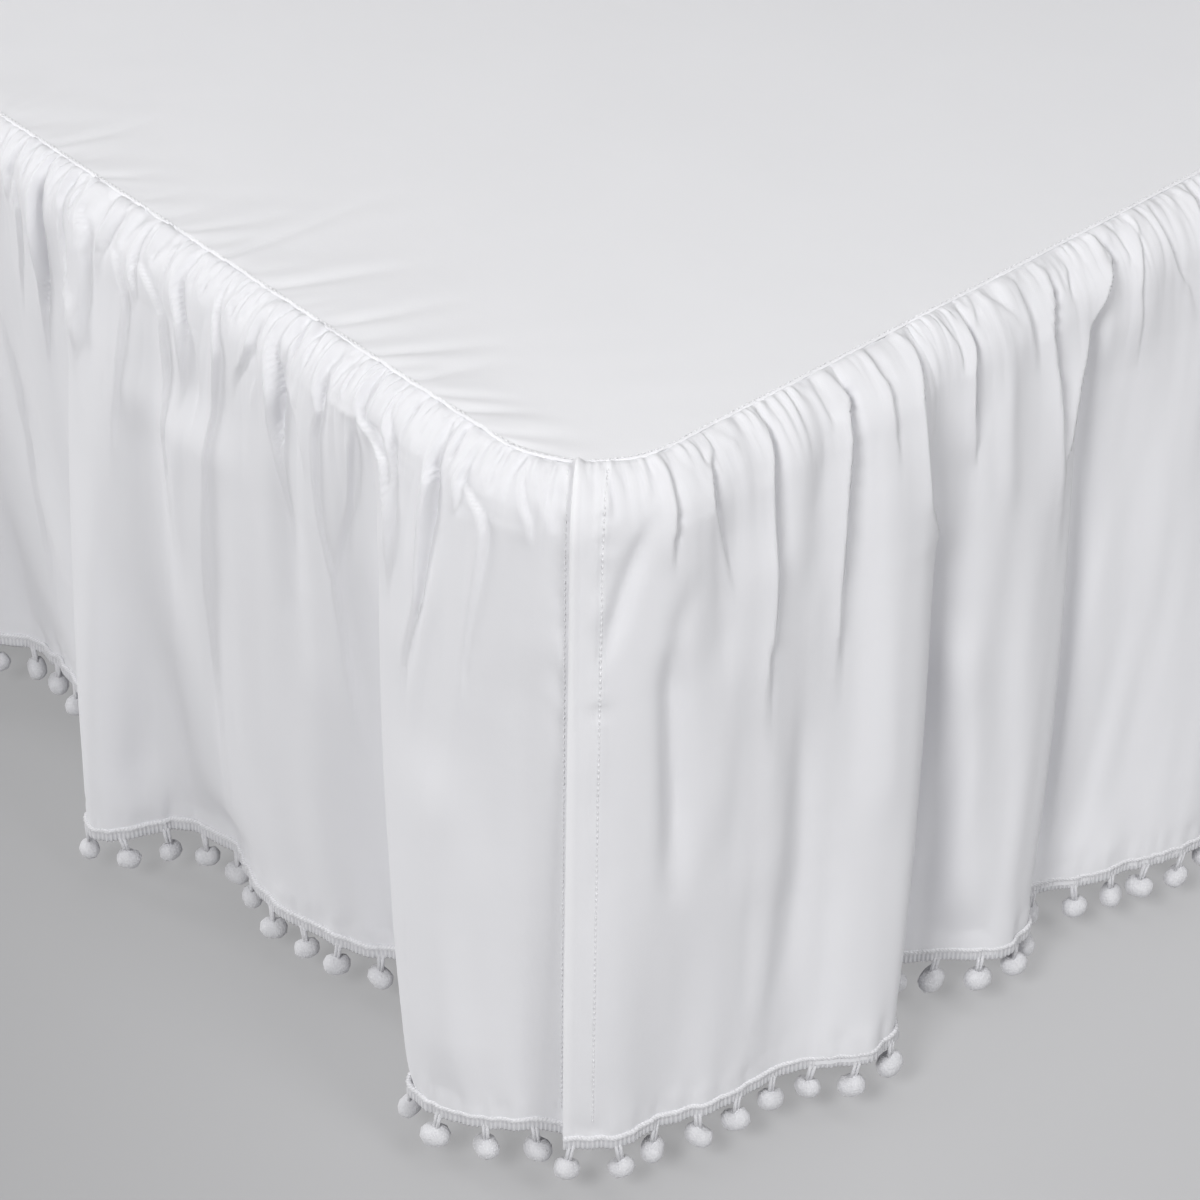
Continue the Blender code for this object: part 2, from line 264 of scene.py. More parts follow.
@dataclass(frozen=True)
class BaseCloth:
    """Pale grey non-woven cloth over the bed base."""

    light: tuple[float, float, float] = (0.62, 0.62, 0.64)
    dark: tuple[float, float, float] = (0.54, 0.54, 0.57)
    thread: float = 0.0016
    depth: float = 0.0002

    def material(self) -> bpy.types.Material:
        """Build the material from object coordinates."""
        graph = Graph("base_cloth")
        where = graph.coordinates("Object")
        x, y, z = graph.split(where)
        ribs = (x + y).wave(self.thread) * z.wave(self.thread)
        mottle = graph.noise(where, 60.0, 4.0)
        colour = graph.blend(mottle, self.dark, self.light)
        return graph.dress(Base_Color=colour, Roughness=mottle * 0.1 + 0.85,
                           Normal=graph.bump(ribs * 0.3 + mottle, self.depth, 0.7),
                           Sheen_Weight=0.15)


@dataclass(frozen=True)
class StainedWood:
    """Dark stained wood with a soft satin finish, its grain along Z."""

    light: tuple[float, float, float] = (0.21, 0.12, 0.065)
    dark: tuple[float, float, float] = (0.10, 0.052, 0.026)
    stretch: tuple[float, float, float] = (1.0, 1.0, 0.08)
    depth: float = 0.0002

    def material(self) -> bpy.types.Material:
        """Build the material from object coordinates."""
        graph = Graph("stained_wood")
        where = graph.coordinates("Object")
        stretched = graph.node("ShaderNodeMapping", {},
                               {"Vector": where, "Scale": self.stretch})
        grain = graph.noise(stretched, 260.0, 6.0)
        rings = graph.noise(stretched, 40.0, 2.0)
        colour = graph.blend(grain * 0.6 + rings * 0.4, self.dark, self.light)
        return graph.dress(Base_Color=colour, Roughness=grain * 0.15 + 0.38,
                           Normal=graph.bump(grain, self.depth, 0.4), Coat_Weight=0.15)


@dataclass(frozen=True)
class StudioFloor:
    """Pale grey floor with painted light: it glows a little, a painted fill that keeps the shade
    round the bed light, and gets softly lighter to one side, a painted pool of light.
    """

    # Painted pool of light: the colour runs from dark to light towards one side of the floor.
    light: tuple[float, float, float] = (0.240, 0.240, 0.247)
    dark: tuple[float, float, float] = (0.088, 0.088, 0.092)
    # Painted fill light: the floor glows though it is no lamp, lifting the shade near the bed.
    painted_fill_glow: float = 0.30
    painted_fill_glow_colour: tuple[float, float, float] = (0.99, 0.99, 1.0)
    painted_light_towards: tuple[float, float] = (0.668, 0.744)
    fades: tuple[float, float] = (-0.72, -0.20)

    def material(self) -> bpy.types.Material:
        """Build the material from object coordinates."""
        graph = Graph("studio_floor")
        x, y, _ = graph.split(graph.coordinates("Object"))
        place = x * self.painted_light_towards[0] + y * self.painted_light_towards[1]
        share = graph.node("ShaderNodeMapRange", {}, {"Value": place,
                                                      "From Min": self.fades[0],
                                                      "From Max": self.fades[1]})
        colour = graph.blend(share, self.dark, self.light)
        return graph.dress(Base_Color=colour, Roughness=0.8, Emission_Strength=self.painted_fill_glow,
                           Emission_Color=self.painted_fill_glow_colour)


# --- plan ---------------------------------------------------------------------------------
class Side(Enum):
    """The three drops."""

    RIGHT = "right"
    FOOT = "foot"
    LEFT = "left"


@dataclass(frozen=True)
class SeamPlan:
    """Plan of the seam between the flat cloth and its gathered drops, in metres."""

    half_width: float = 0.4915
    foot_y: float = -0.9485
    head_y: float = 0.9525
    corner_radius: float = 0.055
    seam_z: float = 0.397
    cloth_drop: float = 0.3521
    shift: tuple[float, float] = (0.0, 0.0)

    @property
    def quarter(self) -> float:
        """Half the length of a corner's arc."""
        return self.corner_radius * math.pi / 4

    @property
    def foot_run(self) -> float:
        """Length of the foot's seam between the middles of its corners."""
        return 2 * (self.half_width - self.corner_radius + self.quarter)

    @property
    def side_run(self) -> float:
        """Length of a side's seam from its corner's middle to the head."""
        return self.quarter + self.head_y - self.foot_y - self.corner_radius

    def point(self, side: Side, run: np.ndarray, out: np.ndarray) -> np.ndarray:
        """Plan points at a run along a drop and a distance outside the seam.

        Args:
            side: the drop.
            run: distances from the drop's first corner.
            out: distances outside the seam, of the same shape.

        Returns:
            An array with x and y in its last axis.
        """
        at = run if side is Side.RIGHT else -run
        if side is Side.LEFT:
            at = -self.foot_run - run
        mirrored = at < -self.foot_run / 2
        at = np.where(mirrored, -self.foot_run - at, at)
        straight = self.half_width - self.corner_radius
        turn = math.pi / 4 - np.clip(at, -self.quarter, self.quarter) / self.corner_radius
        reach = self.corner_radius + out
        x = straight + reach * np.cos(turn) + np.minimum(at + self.quarter, 0)
        y = (self.foot_y + self.corner_radius - reach * np.sin(turn)
             + np.maximum(at - self.quarter, 0))
        x = np.where(mirrored, -x, x)
        return np.stack([x + self.shift[0], y + self.shift[1]], -1)


# --- fold tables, in millimetres ------------------------------------------------------------
class Fold(NamedTuple):
    """One line of a fold: its run at the seam, its run at the hem, the hem's reach outside."""

    seam: float
    hem: float
    out: float


class Tuck(NamedTuple):
    """A fold's edge along (depth, seam place, rise) points, where the depth is below the seam.

    The cloth swells towards the edge by the rise, drops steeply past it and comes back over
    the width.  It drops on the far side from the run's start, or on the near side on the
    foot drop; a rise below 0 turns that round.
    """

    line: tuple[tuple[float, float, float], ...]
    width: float


class Crease(NamedTuple):
    """A soft ridge (rise above 0) or trough (below 0) along (depth, seam place) points."""

    line: tuple[tuple[float, float], ...]
    width: float
    rise: float


RIGHT_FOLDS = tuple(Fold(*row) for row in (
    (-3.4, -3.4, 66), (10, 7, 66), (24, 14, 61), (40, 22, 56), (60, 32, 58), (86, 43, 59),
    (104, 62, 60), (122, 78, 68), (144, 93, 79), (168, 112, 87), (184, 126, 80),
    (190, 136, 54), (196, 150, 42), (206, 170, 49), (220, 188, 63), (240, 203, 75),
    (264, 217, 78), (286, 231, 74), (298, 243, 63), (306, 252, 57), (318, 263, 62),
    (334, 280, 72), (352, 304, 79), (375, 327, 88), (398, 350, 93), (415, 368, 84),
    (430, 382, 56), (448, 402, 34),
))
FOOT_FOLDS = tuple(Fold(*row) for row in (
    (9, 4, 57), (22, 11, 57), (38, 18, 63), (56, 26, 69), (78, 35, 72), (98, 42, 66),
    (105, 50, 38), (109, 62, 17), (115, 84, 10), (122, 104, 10), (130, 121, 16),
    (143, 138, 26), (160, 160, 34), (178, 186, 39), (196, 203, 39), (214, 222, 34),
    (226, 240, 29), (245, 258, 32), (264, 274, 38), (280, 283, 50), (300, 290, 66),
    (322, 297, 77), (341, 305, 80), (349, 314, 70), (355, 323, 42), (364, 340, 20),
    (380, 366, 11), (400, 400, 14), (424, 432, 10), (450, 454, 9), (474, 468, 10),
    (494, 478, 18), (512, 490, 34), (530, 506, 56),
))
CORNER_FOLDS = tuple(Fold(*row) for row in (
    (0.5, 1.3, 57), (9, 4, 58), (22, 12, 58), (40, 22, 66), (62, 34, 71), (84, 46, 62),
    (98, 58, 34), (110, 80, 17), (124, 106, 22),
))

RIGHT_TUCKS = tuple(Tuck(*row) for row in (
    (((0, 9, 0), (1, 9, 1), (10.3, 10, 1.6), (18.3, 9.8, 0)), 3),
    (((0, 24, 0), (2, 24, 1.4), (8.6, 24.3, 1.4), (14.1, 22.6, 0)), 3),
    (((0, 33, 0), (2, 33, 1.6), (10.3, 32.2, 2.6), (22.5, 31.1, 3.2), (33.8, 29.4, 2.2),
      (47, 29.5, 0)), 4),
    (((0, 51, 0), (1, 51, 1.4), (4.7, 49.7, 1.4), (10.4, 50.4, 0)), 3),
    (((0, 56, 0), (3.6, 56.6, 1.2), (8.7, 52.7, 2.6), (16.4, 49.4, 3.8), (24.8, 47.8, 3.6),
      (36.4, 50.4, 2.4), (52.6, 53.5, 1.4), (70.7, 57.6, 0)), 5),
    (((0, 66, 0), (1, 66, 1.2), (4.7, 68.7, 1.4), (9.5, 69.5, 0)), 3),
    (((0, 88, 0), (1, 88, 1.6), (5.8, 88.8, 2.6), (11.9, 86.9, 3.6), (27.5, 83.3, 4.4),
      (66.7, 81.4, 4), (95.8, 80.5, 3.2), (129.9, 75.5, 1.8), (158, 81, 0)), 6),
    (((0, 121, 0), (1, 121, 1.2), (4.7, 121.8, 1.6), (12.5, 122.5, 2.2), (15.5, 122.3, 1),
      (20.4, 122.1, 0)), 3),
    (((0, 135, 0), (1, 135, 1.6), (4.7, 135.8, 2.6), (10.3, 137.3, 4.2), (16.2, 133, 5.5),
      (54.8, 127.4, 5.5), (84.1, 124.7, 4.5), (107.3, 123.9, 3), (129.4, 123, 1.5),
      (152.4, 122.1, 0)), 6),
    (((0, 157, 0), (1, 157, 1.4), (5.8, 156.9, 2.2), (11, 159, 3), (19.5, 157.1, 3),
      (32.4, 156.8, 1.6), (48.7, 158.1, 0)), 4),
    (((0, 182, 0), (1, 182, 1.6), (5.8, 181.9, 2.6), (11, 181, 3.8), (24.7, 176, 4.8),
      (48.3, 175.5, 5.2), (73.1, 177.3, 4.6), (101.1, 190, 3), (118.8, 191.6, 1.6),
      (147.1, 195.5, 0)), 7),
    (((0, 203, 0), (2, 203, 1.4), (10.4, 206.5, 2), (17.3, 206.9, 1.2), (25, 206.3, 0)), 4),
    (((0, 217, 0), (1, 217, 1.6), (5.8, 216.9, 2.6), (14, 216.7, 4.2), (25.9, 213.2, 4.8),
      (44.9, 213.2, 4.2), (58.1, 214.5, 2.6), (75.3, 215.8, 0)), 6),
    (((0, 227, 0), (2, 227, 1.2), (5.8, 223.9, 1.2), (10.3, 222.4, 0)), 3),
    (((0, 236, 0), (2, 238, 1.2), (5.8, 242, 1.6), (11.8, 245.7, 1.6), (17.8, 246.3, 0)), 4),
    (((0, 257, 0), (1, 257, 1.6), (5.8, 256, 2.4), (13.1, 255.9, 3.2), (21.2, 255.4, 3),
      (29.4, 256.3, 1.6), (42.5, 257.4, 0)), 5),
    (((0, 277, 0), (2, 277, 1.6), (6.8, 276, 2.8), (11, 275, 4.2), (28.4, 269.3, 5),
      (57.5, 272.3, 4.4), (84.5, 274.3, 3), (101.5, 275.2, 1.5), (118.4, 276, 0)), 6),
    (((0, 283, 0), (3.6, 283.8, 1.4), (12.5, 283.3, 1.4), (17, 281.4, 0)), 3),
    (((0, 290, 0), (1, 290, 1.2), (5.8, 290, 1.8), (13.8, 286.4, 1.6), (20.3, 284.4, 0)), 3),
    (((0, 315, 0), (1, 315, 1.8), (4.7, 316, 3.2), (9.5, 316.7, 4.6), (14, 312.6, 5.6),
      (21.3, 307.3, 5.6), (40.9, 296.4, 5.2), (63.7, 288.3, 5), (89.1, 283.7, 4.4),
      (100.3, 279, 3.4), (116.3, 278, 2.4), (145.9, 280.4, 0)), 7),
    (((0, 328, 0), (1, 328, 1.4), (11.1, 329.1, 1.8), (17.9, 327.1, 0)), 3),
    (((0, 341, 0), (3.6, 340.9, 1.2), (15.4, 334.8, 1.8), (29.5, 332.2, 1.5), (46.7, 333.5, 0.9),
      (71, 334, 0)), 5),
    (((0, 354, 0), (2, 354, 1.6), (9.5, 354.7, 2.6), (17, 356.2, 2.8), (28.6, 359.1, 2),
      (41.6, 367.2, 1.2), (58.8, 372.5, 0)), 5),
    (((0, 381, 0), (1, 381, 1.8), (3.6, 383.9, 2.4), (11, 381.9, 3.6), (22.1, 378.7, 3.6),
      (36.5, 378.9, 2), (58.8, 380.5, 0)), 6),
    (((0, 404, 0), (2, 404, 1.8), (11.7, 404.5, 3), (26.5, 401.8, 2.4), (52.3, 403.5, 0)), 5),
    (((0, 428, 0), (2, 428, 2), (11.9, 428.9, 4), (33.2, 420.7, 4), (72.2, 415.5, 2),
      (119.8, 427.1, 0)), 6),
))
FOOT_TUCKS = tuple(Tuck(*row) for row in (
    (((0, 17, 0), (2, 16, 1.4), (10.3, 13.1, 2), (18.4, 10.5, 1), (27.3, 9.3, 0)), 3),
    (((0, 24, 0), (3.6, 23.3, 1.4), (10.3, 21.2, 2.2), (15.8, 19.4, 2.2), (21.8, 17.1, 1.2),
      (33, 15.9, 0)), 3.5),
    (((0, 37, 0), (2, 37, 1.6), (10.3, 36.3, 1.6), (14.8, 35.1, 0)), 3),
    (((0, 49, 0), (2, 49, 1.6), (6.8, 50, 2.4), (11.1, 49.1, 3.2), (16.1, 48.9, 3.6),
      (22.8, 47.3, 2.2), (32, 46.5, 0)), 4.5),
    (((13.8, 48.7, 0), (19.4, 40.9, 1.6), (24.8, 35.7, 2.2), (33.5, 33.6, 2.2), (44.7, 33.8, 2),
      (77.9, 36.9, 1.4), (121.1, 40.1, 1), (165.2, 44.1, 0.8), (207.4, 44.4, 0)), 5),
    (((0, 60, 0), (2, 60, 1.4), (8.7, 60.8, 1.6), (13.1, 60, 0)), 3),
    (((0, 71, 0), (2, 70, 1.6), (11.1, 69.1, 3.4), (17.7, 68.3, 4.8), (25.4, 65.8, 5.8),
      (40.1, 65.4, 6), (62.4, 65.7, 5), (82.5, 65.8, 3.6), (114.3, 74.4, 2),
      (138.3, 75.2, 0)), 6),
    (((0, 82, 0), (2, 82, 1.6), (9.5, 82.6, 1.8), (13.7, 81.5, 0)), 3),
    (((0, 91, 0), (2, 91, 1.4), (7.8, 92, 1.4), (11.8, 90.8, 0)), 3),
    (((0, 102, 0), (2, 102, 1.6), (8.7, 101.9, 2), (13.2, 100.1, 2.8), (20.8, 96.1, 3.2),
      (35.8, 89.8, 2.4), (66, 88, 1.6), (88, 86.9, 0)), 5),
    (((0, 122, 0), (3.6, 121.8, 1.8), (10.7, 120.8, 2.4), (17.5, 117.2, 3), (21.4, 106.7, 3),
      (27.9, 96.8, 3.2), (37.3, 94.2, 3), (47.8, 89.9, 2.4), (73, 88, 1.4), (95.6, 90.3, 0)), 5),
    (((0, 131, 0), (2, 131, 1.6), (9.7, 131.9, 1.8), (15.3, 129.1, 0)), 3),
    (((24.7, 122, 0), (34.1, 122.4, 1.8), (55.6, 125.2, 2.2), (69.8, 127.5, 2), (95.3, 135, 1.3),
      (119.5, 139.4, 0)), 5),
    (((0, 139, 0), (2, 139, 1.4), (9.7, 139.9, 1.6), (13.7, 138.7, 0)), 3),
    (((0, 149, 0), (2, 149, 1.6), (7.8, 149.1, 2.6), (12.9, 147.9, 3.4), (19.6, 146.1, 4.2),
      (27.3, 144.5, 2.8), (40.2, 147.4, 1.8), (69.6, 147.5, 2), (89.9, 145, 2.4),
      (115, 140, 2.6), (144.7, 137, 2.4), (170.1, 136, 1.8), (208, 133, 1), (225, 130, 0)), 5),
    (((0, 162, 0), (2, 162, 1.6), (8.8, 162, 1.8), (14.3, 160.1, 0)), 3),
    (((0, 172, 0), (2, 172, 1.4), (9.6, 172.8, 1.8), (15, 169.7, 0)), 3),
    (((0, 186, 0), (3.6, 185.8, 2), (7.8, 186.1, 2.6), (13.5, 183.4, 3.8), (22, 180.2, 5.4),
      (34.9, 177, 5.8), (48.1, 177.3, 4.8), (69.4, 173.8, 2.4), (99.8, 168.6, 0.8),
      (120, 167, 0)), 6),
    (((14.9, 179.6, 0), (23.7, 174.8, -1), (30, 167.1, -1.8), (40.1, 162.3, -1.8),
      (50.3, 157.6, -1.4), (68.6, 154.1, 0)), 5),
    (((0, 197, 0), (2, 197, 1.6), (11.3, 198.4, 2.8), (17.9, 198.3, 3.2), (28.9, 202.7, 2),
      (38.7, 208.5, 1), (52.6, 212.7, 0)), 5),
    (((13.5, 195.4, 0), (23.6, 190.7, -1.3), (30.8, 190.7, -1.4), (39.8, 194.8, -1),
      (52.9, 196.9, 0)), 4),
    (((0, 211, 0), (2, 211, 1.4), (8.8, 212, 1.6), (12.9, 210.8, 0)), 3),
    (((0, 219, 0), (2, 219, 1.4), (9.7, 219.9, 1.8), (15, 216.7, 0)), 3),
    (((0, 230, 0), (3.6, 230.9, 1.8), (8.8, 231.1, 2.6), (18.8, 226.1, 3), (32.7, 222.5, 2.6),
      (60, 224.1, 2.4), (95.4, 224.8, 2.2), (132.8, 226.5, 2), (168.2, 227, 1.8),
      (208.1, 223.4, 1.6), (243.6, 219.6, 1.4), (294.4, 216.3, 1), (334, 215.3, 0)), 6),
    (((0, 243, 0), (2, 243, 1.6), (9.7, 243.9, 1.8), (15, 241.7, 0)), 3),
    (((0, 252, 0), (2, 252, 1.4), (8.8, 253.1, 1.6), (13.6, 251.4, 0)), 3),
    (((0, 261, 0), (2, 261, 1.8), (6.8, 262.2, 2.4), (11.3, 261.4, 3.4), (18, 259.2, 4.6),
      (31, 253.6, 4.6), (41.1, 252.8, 3.2), (56.3, 251.2, 1.6), (78.6, 250.7, 0)), 6),
    (((19.6, 255.7, 0), (24.6, 253.4, -1), (32.9, 246.6, -1.8), (41.1, 242.8, -2),
      (60.3, 240.3, -1.4), (88.6, 238.9, 0)), 5),
    (((0, 272, 0), (2, 272, 1.4), (8.8, 273.1, 1.8), (14.1, 270.8, 0)), 3),
    (((0, 283, 0), (2, 283, 1.6), (9.6, 283.8, 2), (14, 280.6, 0)), 3),
    (((11.9, 292.8, 0), (14.7, 288.2, 1), (18.7, 282.7, 1.8), (25.6, 274.2, 2),
      (32.2, 267.8, 2.4), (46.4, 265.2, 2.6), (65.7, 262.6, 2.6), (95, 260.1, 2.4),
      (123.2, 257.5, 2), (141.3, 254.8, 1.2), (165.5, 253.1, 0)), 6),
    (((0, 296, 0), (2, 296, 1.6), (9.6, 295.8, 3), (14.6, 295, 3.8), (22, 292.7, 3),
      (27.4, 289.9, 1.6), (38.4, 288.9, 0)), 5),
    (((0, 307, 0), (2, 307, 1.6), (9.5, 308.8, 1.8), (13.8, 306.2, 0)), 3),
    (((0, 318, 0), (2, 318, 1.6), (10.3, 320.4, 3), (16.1, 321.1, 3.4), (21.9, 322.3, 2),
      (31.1, 322.2, 0.8), (42.3, 323.4, 0)), 5),
    (((13.1, 316.7, 0), (17.7, 308.7, 1), (22.8, 303.3, 1.8), (32.2, 296.5, 2.2),
      (42.4, 295.9, 2.2), (64.8, 298.4, 2.2), (83, 300.6, 1.8), (110.2, 303.8, 1.4),
      (149.5, 305.1, 0)), 6),
    (((0, 332, 0), (2, 332, 1.6), (9.5, 332.8, 1.8), (13.6, 329, 0)), 3),
    (((0, 342, 0), (4.8, 342.1, 2), (9.5, 343.8, 2.4), (17.6, 336.4, 3), (31, 332.9, 3),
      (50.3, 332.3, 3), (65.3, 334.4, 2.4), (90.9, 337.9, 0)), 6),
    (((0, 352, 0), (2, 352, 1.6), (9.6, 352.9, 2), (14.5, 349.8, 0)), 3),
    (((0, 363, 0), (2, 363, 1.6), (9.7, 364.1, 2), (16.5, 361.8, 1.2), (26.5, 360.2, 1.4),
      (46.2, 353.3, 1.8), (54.4, 339.9, 2), (67.1, 337.1, 1.4), (78.4, 333.5, 0)), 5),
    (((0, 372, 0), (2, 372, 1.6), (9.7, 373.1, 1.8), (14.6, 371.4, 0)), 3),
    (((0, 381, 0), (4.8, 381.2, 2.6), (8.8, 381.3, 3.8), (16.7, 381, 5.4), (31.8, 379.7, 6.4),
      (45.8, 378.9, 6.4), (63.1, 379.4, 5.4), (78.5, 384.3, 4), (96.8, 388, 2),
      (121.2, 390.6, 0)), 6),
    (((0, 395, 0), (2, 395, 1.6), (9.7, 396.2, 2), (15.3, 393.9, 0)), 3),
    (((13.9, 407.8, 0), (22.8, 401.1, 1.8), (30.8, 397.6, 2), (48.8, 399.8, 1.8),
      (69.9, 404.1, 1.3), (98.1, 407.7, 0)), 5),
    (((0, 410, 0), (2, 410, 1.8), (12.3, 410.5, 3), (16, 411.4, 3.2), (22.8, 410, 2),
      (33.6, 409.3, 0)), 5),
    (((0, 424, 0), (2, 424, 1.6), (9.7, 425.2, 1.8), (15.3, 422.9, 0)), 3),
    (((96.4, 437.6, 0), (116.7, 436.1, 1.2), (166.3, 429.4, 1.8), (192.7, 428, 2),
      (227.3, 428.8, 2), (254.7, 427.5, 1.8), (283.2, 425.1, 1.4), (310.6, 422.6, 1),
      (334.9, 419.9, 0)), 6),
    (((0, 440, 0), (2, 440, 1.8), (12.4, 441.6, 3), (24.5, 437.5, 2.4), (43.8, 438.4, 0)), 5),
))
RIGHT_CREASES = (
    Crease(((40, 185), (80, 190), (130, 195), (345, 198)), 6, -5),
    Crease(((95, 195), (150, 197), (345, 199)), 9, -5),
    Crease(((150, 207), (200, 215), (260, 220), (345, 223)), 15, 6),
    Crease(((16, 301), (80, 303), (200, 305), (345, 306)), 7, -8),
    Crease(((40, 318), (200, 326), (345, 330)), 24, -4),
    Crease(((40, 82), (120, 77), (183, 78), (260, 84)), 22, 2.5),
    Crease(((80, 29), (125, 31), (160, 32), (230, 32)), 9, -4.5),
    Crease(((30, 156), (113, 157), (240, 156)), 14, 2),
    Crease(((8.6, 27.3), (28.2, 20.1), (51.3, 13.5), (75.5, 8.8), (95.5, 5)), 5, -3.2),
    Crease(((46.7, 37.9), (73, 32.5), (101.2, 30), (151.4, 30), (202.4, 36)), 7, -2.6),
    Crease(((86.8, 52.8), (147.1, 49.1), (207.4, 48.4)), 9, 2),
    Crease(((146.9, 76.5), (195, 90.1), (250.3, 89.5), (295, 89.1), (328.9, 86.8)), 6, 1),
    Crease(((147.1, 101.2), (227.7, 105.8), (318.8, 102.9)), 8, -1.8),
    Crease(((11.8, 119.8), (54.8, 108.5), (107.2, 107)), 8, -1.6),
    Crease(((17.9, 237.3), (67, 234.2), (117.2, 236.5)), 6, 1.8),
)
FOOT_CREASES = (
    Crease(((41.1, 57.6), (81.6, 58), (124.6, 65.9), (158.5, 71.4)), 5, 1.8),
    Crease(((32.1, 123.4), (55.6, 126.2), (81, 130.8), (127.6, 137.6)), 4.5, -1.4),
    Crease(((69.4, 174.8), (99.8, 168.6), (146.2, 166), (190, 150)), 9, -2.5),
    Crease(((76.5, 249.6), (126.1, 250.5), (174.5, 247.2)), 6, 1.6),
    Crease(((80, 286.3), (205.4, 286), (340, 286)), 15, -5),
    Crease(((80, 16), (145, 25.4), (220, 39)), 13, -1.5),
    Crease(((150, 50), (240, 54), (345, 58)), 20, 4),
    Crease(((60, 240), (120, 237), (195, 234), (245, 230), (300, 227), (345, 225)), 31, 10),
)


# Gathers under the seam.  Columns: width along the seam, length down the cloth, height, the
# length over which they fade, all in millimetres, and the noise's offset.
GATHERS = ((2.7, 26, 6.6, 11, 7), (6.2, 70, 6.2, 21, 23), (14, 160, 3.8, 52, 41))
# Ripples of the hanging cloth.  Columns: width, length, height, the depth by which they are
# full, all in millimetres, and the noise's offsets across and down.
RIPPLES = ((26, 150, 1.5, 40, 31, 3), (11, 90, 0.6, 30, 57, 11))
# Ripples just over the braid.  Columns: width, length and height, and the noise's offset.
HEM_RIPPLES = ((8.5, 11, 1.3, 5), (3.8, 8, 0.6, 61))


class Noise:
    """Smooth seeded noise on arrays, from -1 to 1."""

    def __init__(self, seed: int) -> None:
        """Fill the table of values."""
        self.table = np.random.default_rng(seed).uniform(-1, 1, (257, 257))

    def __call__(self, x: np.ndarray, y: np.ndarray) -> np.ndarray:
        """Noise at x and y, one feature a unit."""
        column, row = np.floor(x).astype(int), np.floor(y).astype(int)
        s, t = x - column, y - row
        s, t = s * s * (3 - 2 * s), t * t * (3 - 2 * t)
        column, row = column % 256, row % 256
        near = self.table[column, row] * (1 - s) + self.table[column + 1, row] * s
        far = self.table[column, row + 1] * (1 - s) + self.table[column + 1, row + 1] * s
        return near * (1 - t) + far * t


def smoothed(share: np.ndarray) -> np.ndarray:
    """Shares from 0 to 1 with soft ends."""
    share = np.clip(share, 0, 1)
    return share * share * (3 - 2 * share)


def hill(place: np.ndarray, middle: float, width: float) -> np.ndarray:
    """A smooth hill of height 1 at its middle."""
    return np.exp(-((place - middle) / width) ** 2)


def ending(place: np.ndarray, end: float, softness: float) -> np.ndarray:
    """1 up to an end and 0 beyond it, with a soft step."""
    return 0.5 - 0.5 * np.tanh((place - end) / (2 * softness))


def floored(height: np.ndarray, softness: float) -> np.ndarray:
    """Heights kept over 0 by a soft floor, which is felt up to 20 times its softness."""
    near = np.minimum(height, 20 * softness)
    return np.where(height > near, height, softness * np.log1p(np.exp(near / softness)))


def running_length(points: np.ndarray) -> np.ndarray:
    """Length along a line of points, up to each of them."""
    return np.concatenate([[0], np.cumsum(np.linalg.norm(np.diff(points, axis=0), axis=1))])


def laid_along(start: Vector, end: Vector) -> Matrix:
    """The place and turn that lay a shape's Z from one point to another, at their middle."""
    return (Matrix.Translation((start + end) / 2)
            @ (end - start).to_track_quat("Z", "Y").to_matrix().to_4x4())


def smooth_curve(rows: tuple[Fold, ...], samples: int = 24) -> np.ndarray:
    """A Catmull-Rom curve through fold rows.

    Args:
        rows: the fold lines, in millimetres.
        samples: points for each pair of rows.

    Returns:
        An array of seam, hem and out in metres.
    """
    points = np.array(rows, float) * MM
    ends = np.vstack([2 * points[0] - points[1], points, 2 * points[-1] - points[-2]])
    steps = (np.arange(samples) / samples)[:, None]
    spans = []
    for before, here, there, after in zip(ends, ends[1:], ends[2:], ends[3:]):
        spans.append(0.5 * (2 * here + (there - before) * steps
                            + (2 * before - 5 * here + 4 * there - after) * steps ** 2
                            + (3 * here - before - 3 * there + after) * steps ** 3))
    return np.vstack([*spans, points[-1]])


# Lines of a plain fold.  Columns: place across it, share of its ridge, share of its valley.
FOLD_SHAPE = ((0.12, 0.55, 0.45), (0.30, 1, 0), (0.50, 0.92, 0), (0.64, 0.5, 0.5), (0.80, 0, 1))
FOLD_WIDTH = 84
END_GAP = 10                         # how near the end lines no line of a plain fold comes


def plain_folds(first: Fold, last: Fold, seed: int) -> list[Fold]:
    """Uneven folds that fill the run between two fold lines.

    Args:
        first: the line before them.
        last: the line after them.
        seed: starts the random widths and depths.

    Returns:
        Their lines, five a fold.
    """
    rng = random.Random(seed)
    spread = last.hem - first.hem
    count = max(1, round(spread / FOLD_WIDTH))
    shares = [rng.uniform(0.75, 1.25) for _ in range(count)]
    rows = []
    start = first.hem
    for share in shares:
        width = spread * share / sum(shares)
        ridge = rng.uniform(56, 84)
        valley = rng.uniform(12, 32)
        lean = rng.uniform(-0.06, 0.06)
        rows += [(start + width * (place + lean), ridge * of_ridge + valley * of_valley)
                 for place, of_ridge, of_valley in FOLD_SHAPE]
        start += width
    at_start, at_end = first.seam - first.hem, last.seam - last.hem
    return [Fold(hem + at_start + (at_end - at_start) * (hem - first.hem) / spread, hem, out)
            for hem, out in rows if first.hem + END_GAP < hem < last.hem - END_GAP]


def far_corner(run: float) -> list[Fold]:
    """The corner's lines, measured back from the far end of a run in metres."""
    return [Fold(run / MM - fold.seam, run / MM - fold.hem, fold.out)
            for fold in reversed(CORNER_FOLDS)]


